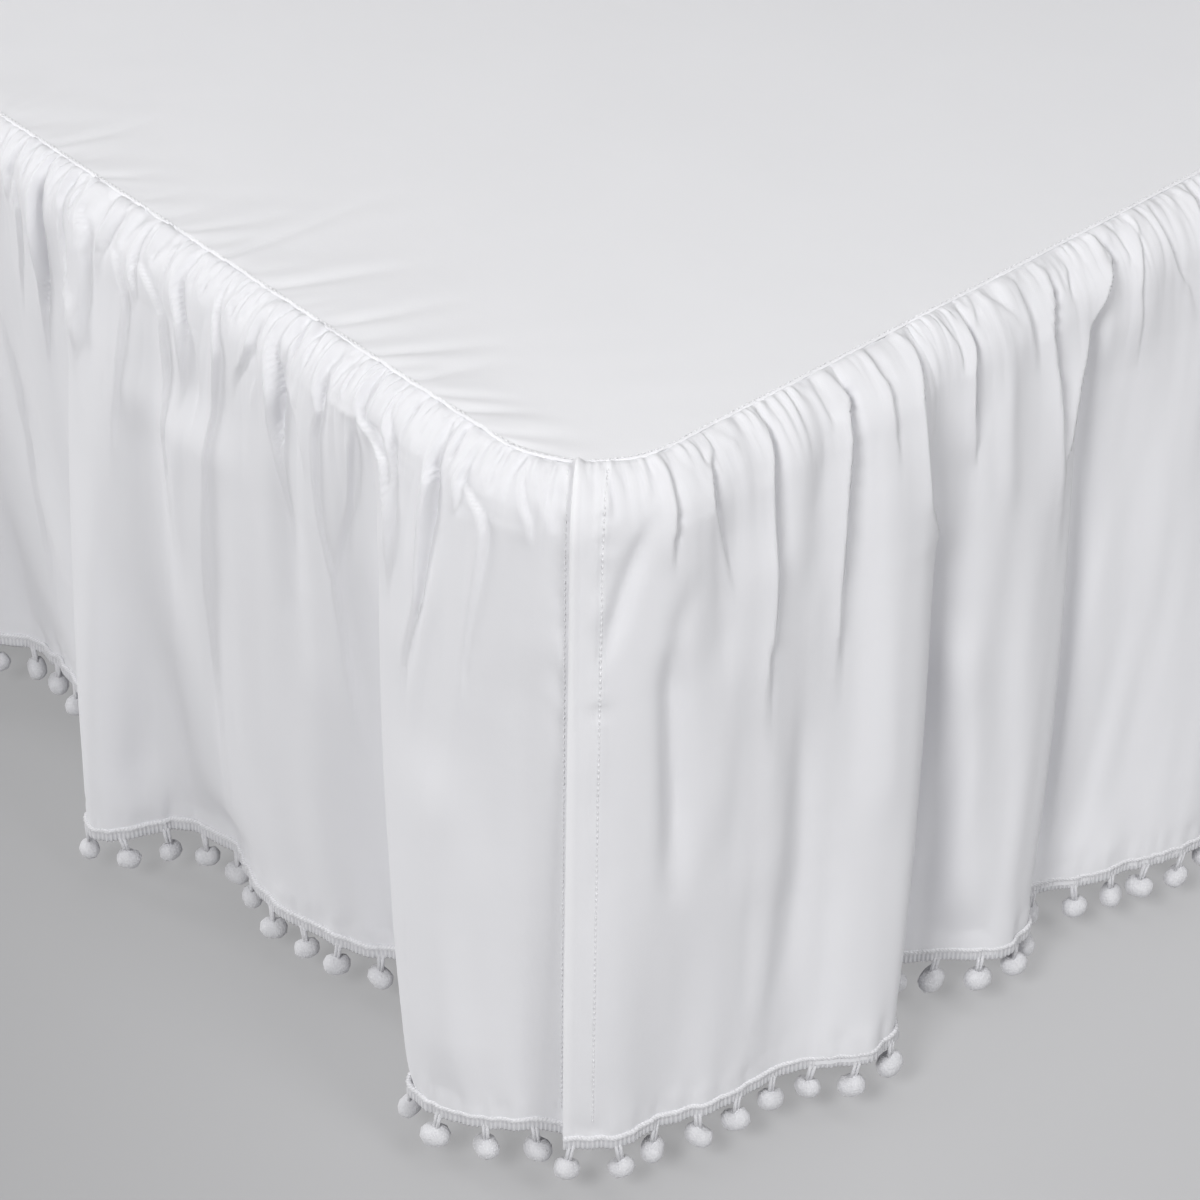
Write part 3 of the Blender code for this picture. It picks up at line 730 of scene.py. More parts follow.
def plain_tucks(start: float, end: float, seed: int) -> list[Tuck]:
    """Uneven tucks from one seam place to another, in millimetres, a deep one every few."""
    rng = random.Random(seed)
    tucks = []
    place = start
    while place < end - 6:
        deep = rng.random() < 0.34
        rise = rng.uniform(3.6, 5.8) if deep else rng.uniform(1.6, 2.8)
        length = rng.uniform(60, 150) if deep else rng.uniform(14, 34)
        lean = rng.uniform(-9, 9) if deep else rng.uniform(-2, 2)
        tucks.append(Tuck(((0, place, 0), (2, place, rise * 0.5), (length * 0.2, place, rise),
                           (length * 0.5, place + lean * 0.6, rise * 0.8),
                           (length, place + lean, 0)), 6.0 if deep else 3.5))
        place += rng.uniform(8.5, 15)
    return tucks


def plain_creases(start: float, end: float, seed: int) -> list[Crease]:
    """Uneven long creases from one seam place to another, in millimetres."""
    rng = random.Random(seed)
    creases = []
    place = start
    while place < end - 20:
        top = rng.uniform(25, 110)
        bottom = min(340, top + rng.uniform(60, 190))
        lean = rng.uniform(-12, 12)
        middle = (top + bottom) / 2
        creases.append(Crease(((top, place), (middle, place + lean * 0.4 + rng.uniform(-2, 2)),
                               (bottom, place + lean)), rng.uniform(4.5, 8),
                              rng.choice((-2.2, -1.8, 1.6, 2.0))))
        place += rng.uniform(22, 46)
    return creases


# --- mesh helpers -------------------------------------------------------------------------
def sheet_mesh(name: str, places: np.ndarray, flat: np.ndarray, doubled: np.ndarray,
               turned: bool, thinned: dict[int, int] | None = None) -> bpy.types.Object:
    """Lay a grid of faces over an array of places.

    Args:
        name: the object's name.
        places: points by column and row, in metres.
        flat: the same points on the flat cloth, for the UV map.
        doubled: how far the cloth is doubled there, from 0 to 1.
        turned: whether the faces need turning round to look outwards.
        thinned: for each odd column, the row below which it is left out.

    Returns:
        The object, smooth, its border marked sharp.
    """
    columns, rows = places.shape[:2]
    bm = bmesh.new()
    bmesh.ops.create_grid(bm, x_segments=columns - 1, y_segments=rows - 1, size=0.5)
    on_flat = bm.verts.layers.float_vector.new("flat_cloth")
    layers = bm.verts.layers.float.new("doubled")
    for vert, place, spot, share in zip(bm.verts, places.transpose(1, 0, 2).reshape(-1, 3),
                                        flat.transpose(1, 0, 2).reshape(-1, 2),
                                        doubled.T.ravel()):
        vert.co = place
        vert[on_flat] = (*spot, 0.0)
        vert[layers] = share
    if thinned:
        dropped = []
        for edge in bm.edges:
            row, column = divmod(min(vert.index for vert in edge.verts), columns)
            upright = abs(edge.verts[0].index - edge.verts[1].index) == columns
            if upright and row >= thinned.get(column, rows):
                dropped.append(edge)
        bmesh.ops.dissolve_edges(bm, edges=dropped, use_verts=True)
    for edge in bm.edges:
        edge.smooth = not edge.is_boundary
    if turned:
        bmesh.ops.reverse_faces(bm, faces=bm.faces)
    made = to_object(name, bm)
    spots = np.empty(len(made.data.vertices) * 3, np.float32)
    made.data.attributes["flat_cloth"].data.foreach_get("vector", spots)
    corners = np.empty(len(made.data.loops), np.int32)
    made.data.loops.foreach_get("vertex_index", corners)
    made.data.attributes.remove(made.data.attributes["flat_cloth"])
    unrolled = made.data.uv_layers.new(name="flat_cloth")
    unrolled.data.foreach_set("uv", spots.reshape(-1, 3)[corners, :2].ravel())
    return made


def to_object(name: str, bm: bmesh.types.BMesh) -> bpy.types.Object:
    """Turn a bmesh into a linked object with smooth faces and free it."""
    for face in bm.faces:
        face.smooth = True
    mesh = bpy.data.meshes.new(name)
    bm.to_mesh(mesh)
    bm.free()
    made = bpy.data.objects.new(name, mesh)
    bpy.context.scene.collection.objects.link(made)
    return made


def thicken(piece: bpy.types.Object, thickness: float) -> None:
    """Give a sheet its thickness, behind its face."""
    solid = piece.modifiers.new("thickness", "SOLIDIFY")
    solid.thickness = thickness
    solid.offset = -1
    solid.use_rim = True


def fit(piece: bpy.types.Object, material: bpy.types.Material, slot: str,
        *nodes: str) -> bpy.types.Object:
    """Dress a piece, let it ride on the bed and stand for its solids.

    Args:
        piece: the finished piece.
        material: its finish.
        slot: the record's material slot; not used.
        nodes: the solids that it replaces.

    Returns:
        The piece.
    """
    piece.data.materials.clear()
    piece.data.materials.append(material)
    if nodes:
        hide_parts(*nodes)
    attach(piece, "root")
    faces = piece.data.polygons
    log.info("%s: %d faces, %d triangles", piece.name, len(faces),
             sum(len(face.vertices) - 2 for face in faces) * (2 if piece.modifiers else 1))
    return piece


# --- cloth --------------------------------------------------------------------------------
@dataclass
class GatheredDrop:
    """One gathered drop: folds from its table, tucks under the seam, creases and hems."""

    plan: SeamPlan
    side: Side
    folds: tuple[Fold, ...]
    tucks: tuple[Tuck, ...]
    creases: tuple[Crease, ...]
    fine_to: float                   # run up to which it is finely made
    end_hem: bool                    # whether its far end meets another corner
    seed: int
    tucked: float = 0.0              # how much of its first edge lies behind its neighbour
    fineness: float = 1.0            # height of the gathers, beside the foot's
    step: float = 0.9                # half the width of a tuck's step, in millimetres
    softens: float = 0.65            # how much of that step is lost lower down
    soft_from: float = 40            # the depth where that begins and how far it goes on
    soft_over: float = 60
    trough: float = 0.4              # depth of the trough left there, for each mm of rise
    trough_out: float = 0.8          # its middle, beyond the tuck's edge
    trough_width: float = 0.9        # half its width
    swell: float = 1.0               # height of the broad swell at a tuck, for each mm of rise
    swell_most: float = 2.5          # up to this rise
    swell_from: float = 22           # the depth where it begins and how far it goes on
    swell_over: float = 45
    swell_before: float = 13         # its reach on the tuck's near side and on its far side
    swell_beyond: float = 4.5
    fine_pitch: float = 0.00105
    plain_pitch: float = 0.0044
    fine_rows_to: float = 0.120      # depth to which each column of the fine part is kept
    plain_rows_to: float = 0.030
    thin_rows: int = 9               # rows over which a column fades before it is left out
    bulge: float = 0.020
    bulge_depth: float = 0.029
    heading: float = 0.015
    opens_from: float = 0.008
    out_ease: float = 1.15
    at_ease: float = 1.4
    gap: float = 2.4                 # depth of the dark gap at a tuck, for each mm of rise
    gap_from: float = 3              # over this rise
    gap_width: float = 0.9           # half the width of that gap, in millimetres
    leaves: float = 3                # millimetres in which the gathers rise from the seam
    lip: float = 0.0009              # how far its top edge lies under the flat cloth
    hem_turn: float = 0.0155         # width of the side hem
    edge_roll: float = 0.0032        # width of the rolled edge on the side hem
    hem_share: float = 0.10          # how doubled the side hem looks beside its rolled edge
    roll_share: float = 0.5          # and on that edge
    crease_ends: float = 34          # millimetres over which a crease begins and ends
    hem_zone: float = 7              # millimetres above the braid where ripples stop changing
    hem_fade: float = 11             # and over which its own ripples fade above that
    thickness: float = 0.0012
    behind_braid: float = 0.005
    base_out: float = 0.004          # how far the base's sides stand outside the seam
    base_down: float = 0.0016        # and its top under the seam
    base_edge: float = 0.012         # radius of its top edges
    base_gap: float = 0.7            # millimetres from the base to the relief's soft floor
    floor_soft: float = 0.3          # how softly that floor bends the relief
    stitch_in: float = 0.0012        # distance of the stitches from the side hem's inner edge
    stitch_up: float = 0.0003        # and over the cloth
    curve: np.ndarray = field(init=False)
    hem_length: np.ndarray = field(init=False)
    surface: np.ndarray = field(init=False)
    stretch: np.ndarray = field(init=False)

    def __post_init__(self) -> None:
        """Work out the hem's curve and its running length."""
        self.curve = smooth_curve(self.folds)
        self.hem_length = running_length(
            self.plan.point(self.side, self.curve[:, 1], self.curve[:, 2]))

    @property
    def flat_width(self) -> float:
        """Width that the drop was cut to."""
        return float(self.hem_length[-1])

    def columns(self) -> np.ndarray:
        """Seam, hem, out and length of each column, close together where it is finely made."""
        pitch = np.where(self.curve[:, 0] < self.fine_to, self.fine_pitch, self.plain_pitch)
        count = np.concatenate([[0], np.cumsum(np.diff(self.hem_length) / pitch[1:])])
        wanted = np.linspace(0, count[-1], 2 * round(count[-1] / 2) + 1)
        parts = [*self.curve.T, self.hem_length]
        return np.stack([np.interp(wanted, count, part) for part in parts], -1)

    def levels(self) -> np.ndarray:
        """Depths of the rows, close together round the roll under the seam and at the hem."""
        drop = self.plan.cloth_drop + self.behind_braid
        roll = self.heading * (1 - np.cos(np.linspace(0, math.pi / 2, 14)))
        parts = [roll, np.arange(0.0163, 0.034, 0.0014), np.arange(0.0360, 0.118, 0.0040),
                 np.arange(0.1205, drop - 0.024, 0.0125), np.linspace(drop - 0.018, drop, 7)]
        return np.concatenate(parts)

    def thinned(self, columns: np.ndarray, depths: np.ndarray) -> dict[int, int]:
        """The row below which each odd column is left out."""
        rows = {}
        for column in range(1, len(columns) - 1, 2):
            fine = columns[column, 0] < self.fine_to
            kept = self.fine_rows_to if fine else self.plain_rows_to
            rows[column] = int(np.searchsorted(depths, kept))
        return rows

    def base_places(self, columns: np.ndarray, depths: np.ndarray) -> tuple[np.ndarray, ...]:
        """Run and reach of every point before the fine relief.

        Args:
            columns: seam, hem, out and length of each column.
            depths: depth of each row.

        Returns:
            Two arrays by column and row.
        """
        seam, hem, out = (columns[:, part, None] for part in range(3))
        depth, drop = depths[None], self.plan.cloth_drop
        roll = np.clip(depth / self.bulge_depth, 0, 1)
        bulge = self.bulge * np.sqrt(1 - (1 - roll) ** 2) - self.lip * (depth == 0)
        opened = np.clip((depth - self.opens_from) / (drop - self.opens_from), 0, 1)
        opening = 1 - (1 - opened) ** self.out_ease
        fall = np.clip((depth - self.heading) / (drop - self.heading), 0, 1.02)
        run = seam + (hem - seam) * fall ** self.at_ease
        return run, bulge * (1 - opening) + out * opening

    def centres(self, line: tuple, seam: np.ndarray, stretch: np.ndarray,
                depth: np.ndarray) -> np.ndarray:
        """Running length of a line of (depth, seam place, ...) points in every row."""
        places = np.interp(depth, [stop[0] for stop in line], [stop[1] for stop in line])
        return np.array([np.interp(place, seam, stretch[:, row])
                         for row, place in enumerate(places)])

    def relief(self, seam: np.ndarray, depths: np.ndarray, length: np.ndarray) -> np.ndarray:
        """Height of gathers, tucks, creases, ripples and hems over the plain folds.

        Args:
            seam: seam place of each column.
            depths: depth of each row.
            length: real length from the first edge to every point.

        Returns:
            Heights by column and row, in metres.
        """
        seam, depth, stretch = seam / MM, depths / MM, length / MM
        roll = self.heading / MM
        turn = np.arccos(np.clip(1 - depth / roll, 0, 1))
        along = (turn * (roll + 1) + np.maximum(depth - roll, 0))[None]
        rise = np.zeros_like(stretch)
        for tuck in self.tucks:
            centre = self.centres(tuck.line, seam, stretch, depth)
            off = (stretch - centre[None]) / np.hypot(1, np.gradient(centre, depth))
            rise += self.tuck_rise(tuck, off * (-1 if self.side is Side.FOOT else 1), depth)
        for crease in self.creases:
            first, last = crease.line[0][0], crease.line[-1][0]
            ends = (smoothed((depth - first) / self.crease_ends)
                    * smoothed((last - depth) / self.crease_ends))
            off = stretch - self.centres(crease.line, seam, stretch, depth)[None]
            rise += crease.rise * ends * hill(off, 0, crease.width)
        noise, across = Noise(self.seed), seam[:, None]
        leave = 1 - np.exp(-along / self.leaves)
        for pitch, drift, high, fade, offset in GATHERS:
            fold = np.abs(noise(across / pitch + offset, along / drift)) - 0.45
            rise += self.fineness * high * fold * leave * np.exp(-along / fade)
        rise += (noise(across / 17 + 71, along / 210) * 2.6 * leave
                 * np.exp(-along / 300) * np.clip(along / 30, 0, 1))
        hem = self.plan.cloth_drop / MM - self.hem_zone
        level = np.minimum(depth, hem)
        for width, drop, high, full, over, down in RIPPLES:
            rise += (noise(stretch / width + over, level / drop + down) * high
                     * np.clip(depth / full, 0, 1))
        rise += (sum(noise(stretch / width + over, level / drop) * high
                     for width, drop, high, over in HEM_RIPPLES)
                 * np.clip(1 - (hem - level) / self.hem_fade, 0, 1))
        return (rise + self.side_hem(stretch, depth[None], noise)) * MM

    def tuck_rise(self, tuck: Tuck, off: np.ndarray, depth: np.ndarray) -> np.ndarray:
        """Height of one tuck: its step, the trough and the gap beyond it and the swell round it.

        Args:
            tuck: its line and its width.
            off: distance of every point beyond its edge.
            depth: depth of each row.

        Returns:
            Heights by column and row, in millimetres like the rest.
        """
        high = np.interp(depth, [stop[0] for stop in tuck.line], [stop[2] for stop in tuck.line])
        low_down = np.clip((depth - self.soft_from) / self.soft_over, 0, 1)
        sharp = high * (1 - self.softens * low_down)
        beyond = off * np.where(high < 0, -1, 1)
        return (self.swell * np.minimum(np.abs(high), self.swell_most)
                * np.clip((depth - self.swell_from) / self.swell_over, 0, 1)
                * np.exp(np.where(beyond < 0, beyond / self.swell_before,
                                  -beyond / self.swell_beyond))
                - sharp * np.tanh(off / self.step) * np.exp(-np.abs(off) / tuck.width)
                - self.trough * high * low_down * hill(off, self.trough_out, self.trough_width)
                - self.gap * np.maximum(high - self.gap_from, 0)
                * hill(off, self.gap_width, self.gap_width))

    def inside(self, stretch: np.ndarray) -> list[np.ndarray]:
        """Distances in from the visible side edges, in millimetres."""
        ends = [stretch - self.tucked / MM]
        if self.end_hem:
            ends.append(stretch[-1][None] - stretch - self.tucked / MM)
        return ends

    def side_hem(self, stretch: np.ndarray, depth: np.ndarray, noise: Noise) -> np.ndarray:
        """Height of the turned side hems, in millimetres."""
        ends = self.inside(stretch)
        rise = -sum(ending(inside, 0, 0.3) for inside in ends) if self.tucked else 0.0
        width, roll = self.hem_turn / MM, self.edge_roll / MM
        for inside in ends:
            pucker = noise(inside / 14 + depth / 21 + 90, depth / 7)
            small = noise(inside / 5 + 17, depth / 2.6 + 40)
            rise = rise + 0.5 * ending(inside, width, 0.5) - 0.7 * hill(inside, width - 2, 0.8)
            rise += 0.8 * ending(inside, roll, 0.25) + 0.5 * hill(inside, roll * 0.35, 0.7)
            rise += 0.8 * pucker * hill(inside, width - 1, 7)
            rise += 0.5 * small * hill(inside, width - 2, 3)
        return rise

    def doubled(self, stretch: np.ndarray) -> np.ndarray:
        """How doubled the cloth looks at every point, most on the rolled side edges."""
        return np.max([share * ending(inside, width / MM, 0.4)
                       for inside in self.inside(stretch)
                       for share, width in ((self.hem_share, self.hem_turn),
                                            (self.roll_share, self.edge_roll))], axis=0)

    def build(self, cotton: bpy.types.Material) -> bpy.types.Object:
        """Make the drop as a thin sheet.

        Args:
            cotton: its finish.

        Returns:
            The piece.
        """
        columns, depths = self.columns(), self.levels()
        run, reach = self.base_places(columns, depths)
        height = np.broadcast_to(self.plan.seam_z - depths[None, :, None], (*run.shape, 1))
        places = np.concatenate([self.plan.point(self.side, run, reach), height], -1)
        places[:, 0, 2] -= self.lip
        steps = np.linalg.norm(np.diff(places, axis=0), axis=-1)
        length = np.concatenate([np.zeros((1, len(depths))), np.cumsum(steps, 0)])
        outward = np.cross(np.gradient(places, axis=0), np.gradient(places, axis=1))
        turned = self.side is Side.RIGHT
        outward *= -1 if turned else 1
        outward /= np.linalg.norm(outward, axis=-1, keepdims=True)
        room = np.hypot(reach - self.base_out + self.base_edge,
                        np.maximum(self.base_down + self.base_edge - depths, 0)) / MM
        room -= self.base_edge / MM + self.base_gap
        # A soft floor keeps the relief outside the base.
        rise = floored(self.relief(columns[:, 0], depths, length) / MM + room,
                       self.floor_soft) - room
        places = places + outward * rise[..., None] * MM
        thinned = self.thinned(columns, depths)
        for column, row in thinned.items():
            kept = smoothed((row - np.arange(len(depths))) / self.thin_rows)[:, None]
            middle = (places[column - 1] + places[column + 1]) / 2
            places[column] = kept * places[column] + (1 - kept) * middle
        self.surface, self.stretch = places + outward * self.stitch_up, length
        flat = np.stack([np.broadcast_to(columns[:, 3, None], run.shape),
                         np.broadcast_to(depths[None], run.shape)], -1)
        doubled = self.doubled(length / MM)
        piece = sheet_mesh(f"{self.side.value}_drop", places, flat, doubled, turned, thinned)
        thicken(piece, self.thickness)
        return fit(piece, cotton, "cotton", f"skirt_{self.side.value}")

    def hem_lines(self) -> list[np.ndarray]:
        """Points down the stitched lines of the side hems, on the cloth's face."""
        inside = self.tucked + self.hem_turn - self.stitch_in
        rows = range(2, self.surface.shape[1] - 4)
        starts = [np.full(self.surface.shape[1], inside)]
        if self.end_hem:
            starts.append(self.stretch[-1] - inside)
        return [np.array([[np.interp(start[row], self.stretch[::2, row],
                                     self.surface[::2, row, part])
                           for part in range(3)] for row in rows]) for start in starts]


@dataclass
class Platform:
    """The flat cloth under the mattress, with its seam ridge and soft pulls at the foot."""

    plan: SeamPlan
    fine_pitch: float = 0.0022
    pitch: float = 0.007
    fine_width: float = 0.475
    thickness: float = 0.0012
    seed: int = 5
    squeeze: float = 0.75            # narrows the pulls
    pull_width: float = 1.7          # half their width at the seam, in millimetres
    pull_spread: float = 2.6         # and how much wider they end
    shoulder: float = 0.55           # height of the ridges beside a pull, for its depth
    lift: float = 0.25               # millimetres that the cloth stands over the seam
    doubled: float = 0.25            # how doubled it looks over the base
    stitches_in: float = 0.0011      # distance of the topstitching inside the seam
    stitches_up: float = 0.0007      # and over it
    # Pulls from the foot seam, in millimetres: three points, each with its place across from
    # the right side's seam and its distance in, and the depth of the pull.
    pulls: tuple[tuple[float, ...], ...] = (
        (449, 0, 452, 20, 457, 44, 0.8), (404, 0, 396, 32, 393, 68, 1.3),
        (430, 0, 426, 12, 423, 24, 0.5), (382, 0, 379, 14, 377, 26, 0.5),
        (364, 0, 352, 14, 345, 30, 0.9), (330, 0, 324, 16, 320, 32, 0.6),
        (308, 0, 303, 18, 300, 34, 0.6), (290, 0, 276, 29, 270, 54, 1.0),
        (272, 0, 268, 14, 265, 26, 0.5), (257, 0, 255, 50, 253, 104, 1.5),
        (238, 0, 232, 16, 228, 28, 0.6), (222, 0, 201, 46, 188, 74, 1.2),
        (200, 0, 194, 16, 189, 30, 0.6), (178, 0, 165, 29, 153, 66, 1.3),
        (160, 0, 153, 16, 147, 28, 0.6), (144, 0, 125, 30, 111, 54, 1.2),
        (130, 0, 121, 14, 114, 24, 0.6), (116, 0, 106, 29, 103, 44, 1.1),
        (101, 0, 80, 20, 66, 31, 1.0), (85, 0, 63, 22, 50, 34, 1.0),
        (61, 0, 45, 15, 34, 26, 0.8), (48, 3, 30, 10, 16, 18, 0.8),
        (490, 0, 486, 20, 482, 40, 0.8), (530, 0, 532, 20, 535, 36, 0.7),
        (570, 0, 574, 30, 578, 60, 1.1), (612, 0, 615, 16, 618, 30, 0.6),
        (650, 0, 658, 26, 664, 50, 1.0), (694, 0, 700, 18, 706, 34, 0.7),
        (735, 0, 748, 30, 760, 56, 1.1), (776, 0, 784, 18, 792, 32, 0.7),
        (818, 0, 834, 26, 848, 44, 1.0), (856, 0, 872, 18, 886, 32, 0.8),
        (890, 0, 908, 12, 922, 22, 0.8))

    def height(self, x: np.ndarray, into: np.ndarray, edge: np.ndarray) -> np.ndarray:
        """Height of the cloth over the seam.

        Args:
            x: places across the bed, from its middle.
            into: distance in from the foot seam.
            edge: distance in from the nearest seam.

        Returns:
            Heights in metres.
        """
        from_corner = (self.plan.half_width - x) / MM
        inward, edge, rise = into / MM, edge / MM, np.zeros_like(x)
        for *line, deep in self.pulls:
            centre = np.interp(inward, line[1::2], line[0::2])
            off = self.squeeze * (from_corner - centre)
            share = np.clip(inward / line[5], 0, 1)
            fade = (1 - share) ** 0.9 * (0.35 + 0.65 * np.clip(inward / 5, 0, 1))
            wide = self.pull_width + self.pull_spread * share
            rise += fade * deep * (self.shoulder * hill(np.abs(off), 2.3 * wide, 1.5 * wide)
                                   - hill(off, 0, wide))
        noise = Noise(self.seed)
        rise += noise(from_corner / 17 + inward / 30, inward / 42) * 0.9 * np.exp(-inward / 45)
        rise += noise(from_corner / 160, inward / 200) * 0.5 * np.clip(edge / 50, 0, 1)
        rise += noise(from_corner / 5.5, inward / 5.5) * 0.35 * np.exp(-edge / 4)
        ridge = (0.15 * hill(edge, 1.0, 0.9) - 0.8 * np.exp(-edge / 0.5)
                 + 0.3 * noise((from_corner + inward) / 3.1 + 40, edge / 9) * np.exp(-edge / 2))
        return (rise * (1 - 0.6 * np.exp(-edge / 3)) + ridge + self.lift) * MM

    def build(self, cotton: bpy.types.Material) -> bpy.types.Object:
        """Make the flat cloth as a thin sheet.

        Args:
            cotton: its finish.

        Returns:
            The piece.
        """
        plan, radius = self.plan, self.plan.corner_radius
        straight = plan.half_width - radius
        turns = radius * np.sin(np.radians(np.arange(3, 91, 3)))    # a column every 3 degrees
        change = plan.half_width - self.fine_width
        middle = np.concatenate([
            np.linspace(-straight, change, round((straight + change) / self.pitch) + 1)[:-1],
            np.linspace(change, straight, round((straight - change) / self.fine_pitch) + 1)])
        xs = np.concatenate([-straight - turns[::-1], middle, straight + turns])
        depths = np.concatenate([
            np.arange(0, 0.0042, 0.0006), np.arange(0.0044, 0.06, 0.0024),
            np.arange(0.062, 0.13, 0.006), np.linspace(0.14, plan.head_y - plan.foot_y, 48)])
        over = np.maximum(np.abs(xs) - straight, 0)
        dip = radius - np.sqrt(np.maximum(radius ** 2 - over ** 2, 0))
        front = plan.foot_y + dip
        total = plan.head_y - plan.foot_y
        share = depths[None] / total
        y = front[:, None] * (1 - share) + plan.head_y * share
        x = np.broadcast_to(xs[:, None], y.shape)
        corner_x = np.maximum(np.abs(x) - straight, 0)
        corner_y = np.maximum(plan.foot_y + radius - y, 0)
        edge = np.where((corner_x > 0) & (corner_y > 0),
                        radius - np.hypot(corner_x, corner_y),
                        np.minimum(plan.half_width - np.abs(x), y - plan.foot_y))
        edge = np.maximum(edge, 0)
        z = plan.seam_z + self.height(x, y - plan.foot_y, edge)
        places = np.stack([x + plan.shift[0], y + plan.shift[1], z], -1)
        piece = sheet_mesh("flat_cloth", places, np.stack([x, y], -1),
                           np.full(edge.shape, self.doubled), False)
        thicken(piece, self.thickness)
        return fit(piece, cotton, "cotton", "platform_cloth")

    def seam_lines(self) -> list[np.ndarray]:
        """Points along the topstitching, just inside the seam."""
        plan = self.plan
        side, foot = np.linspace(plan.side_run, 0, 500), np.linspace(0, plan.foot_run, 260)
        return [np.concatenate([plan.point(drop, run, np.full(len(run), -self.stitches_in)),
                                np.full((len(run), 1), plan.seam_z + self.stitches_up)], -1)
                for drop, run in ((Side.RIGHT, side), (Side.FOOT, foot), (Side.LEFT, side))]


# --- trim ---------------------------------------------------------------------------------
# Running length to each hem's first pompom, and their pitch.
POMPOMS = {Side.RIGHT: (0.004, 0.0228), Side.FOOT: (0.0205, 0.0243), Side.LEFT: (0.004, 0.0235)}
# The braid's outline, from its lower back round its face to its upper back.  Columns: share
# of its height, share of its thickness.
BRAID_OUTLINE = ((0.02, -0.5), (0.0, 0.5), (0.12, 0.95), (0.45, 0.9), (0.62, 0.8), (0.70, 1.0),
                 (0.82, 1.15), (0.96, 0.8), (1.0, -0.5), (0.02, -0.5))


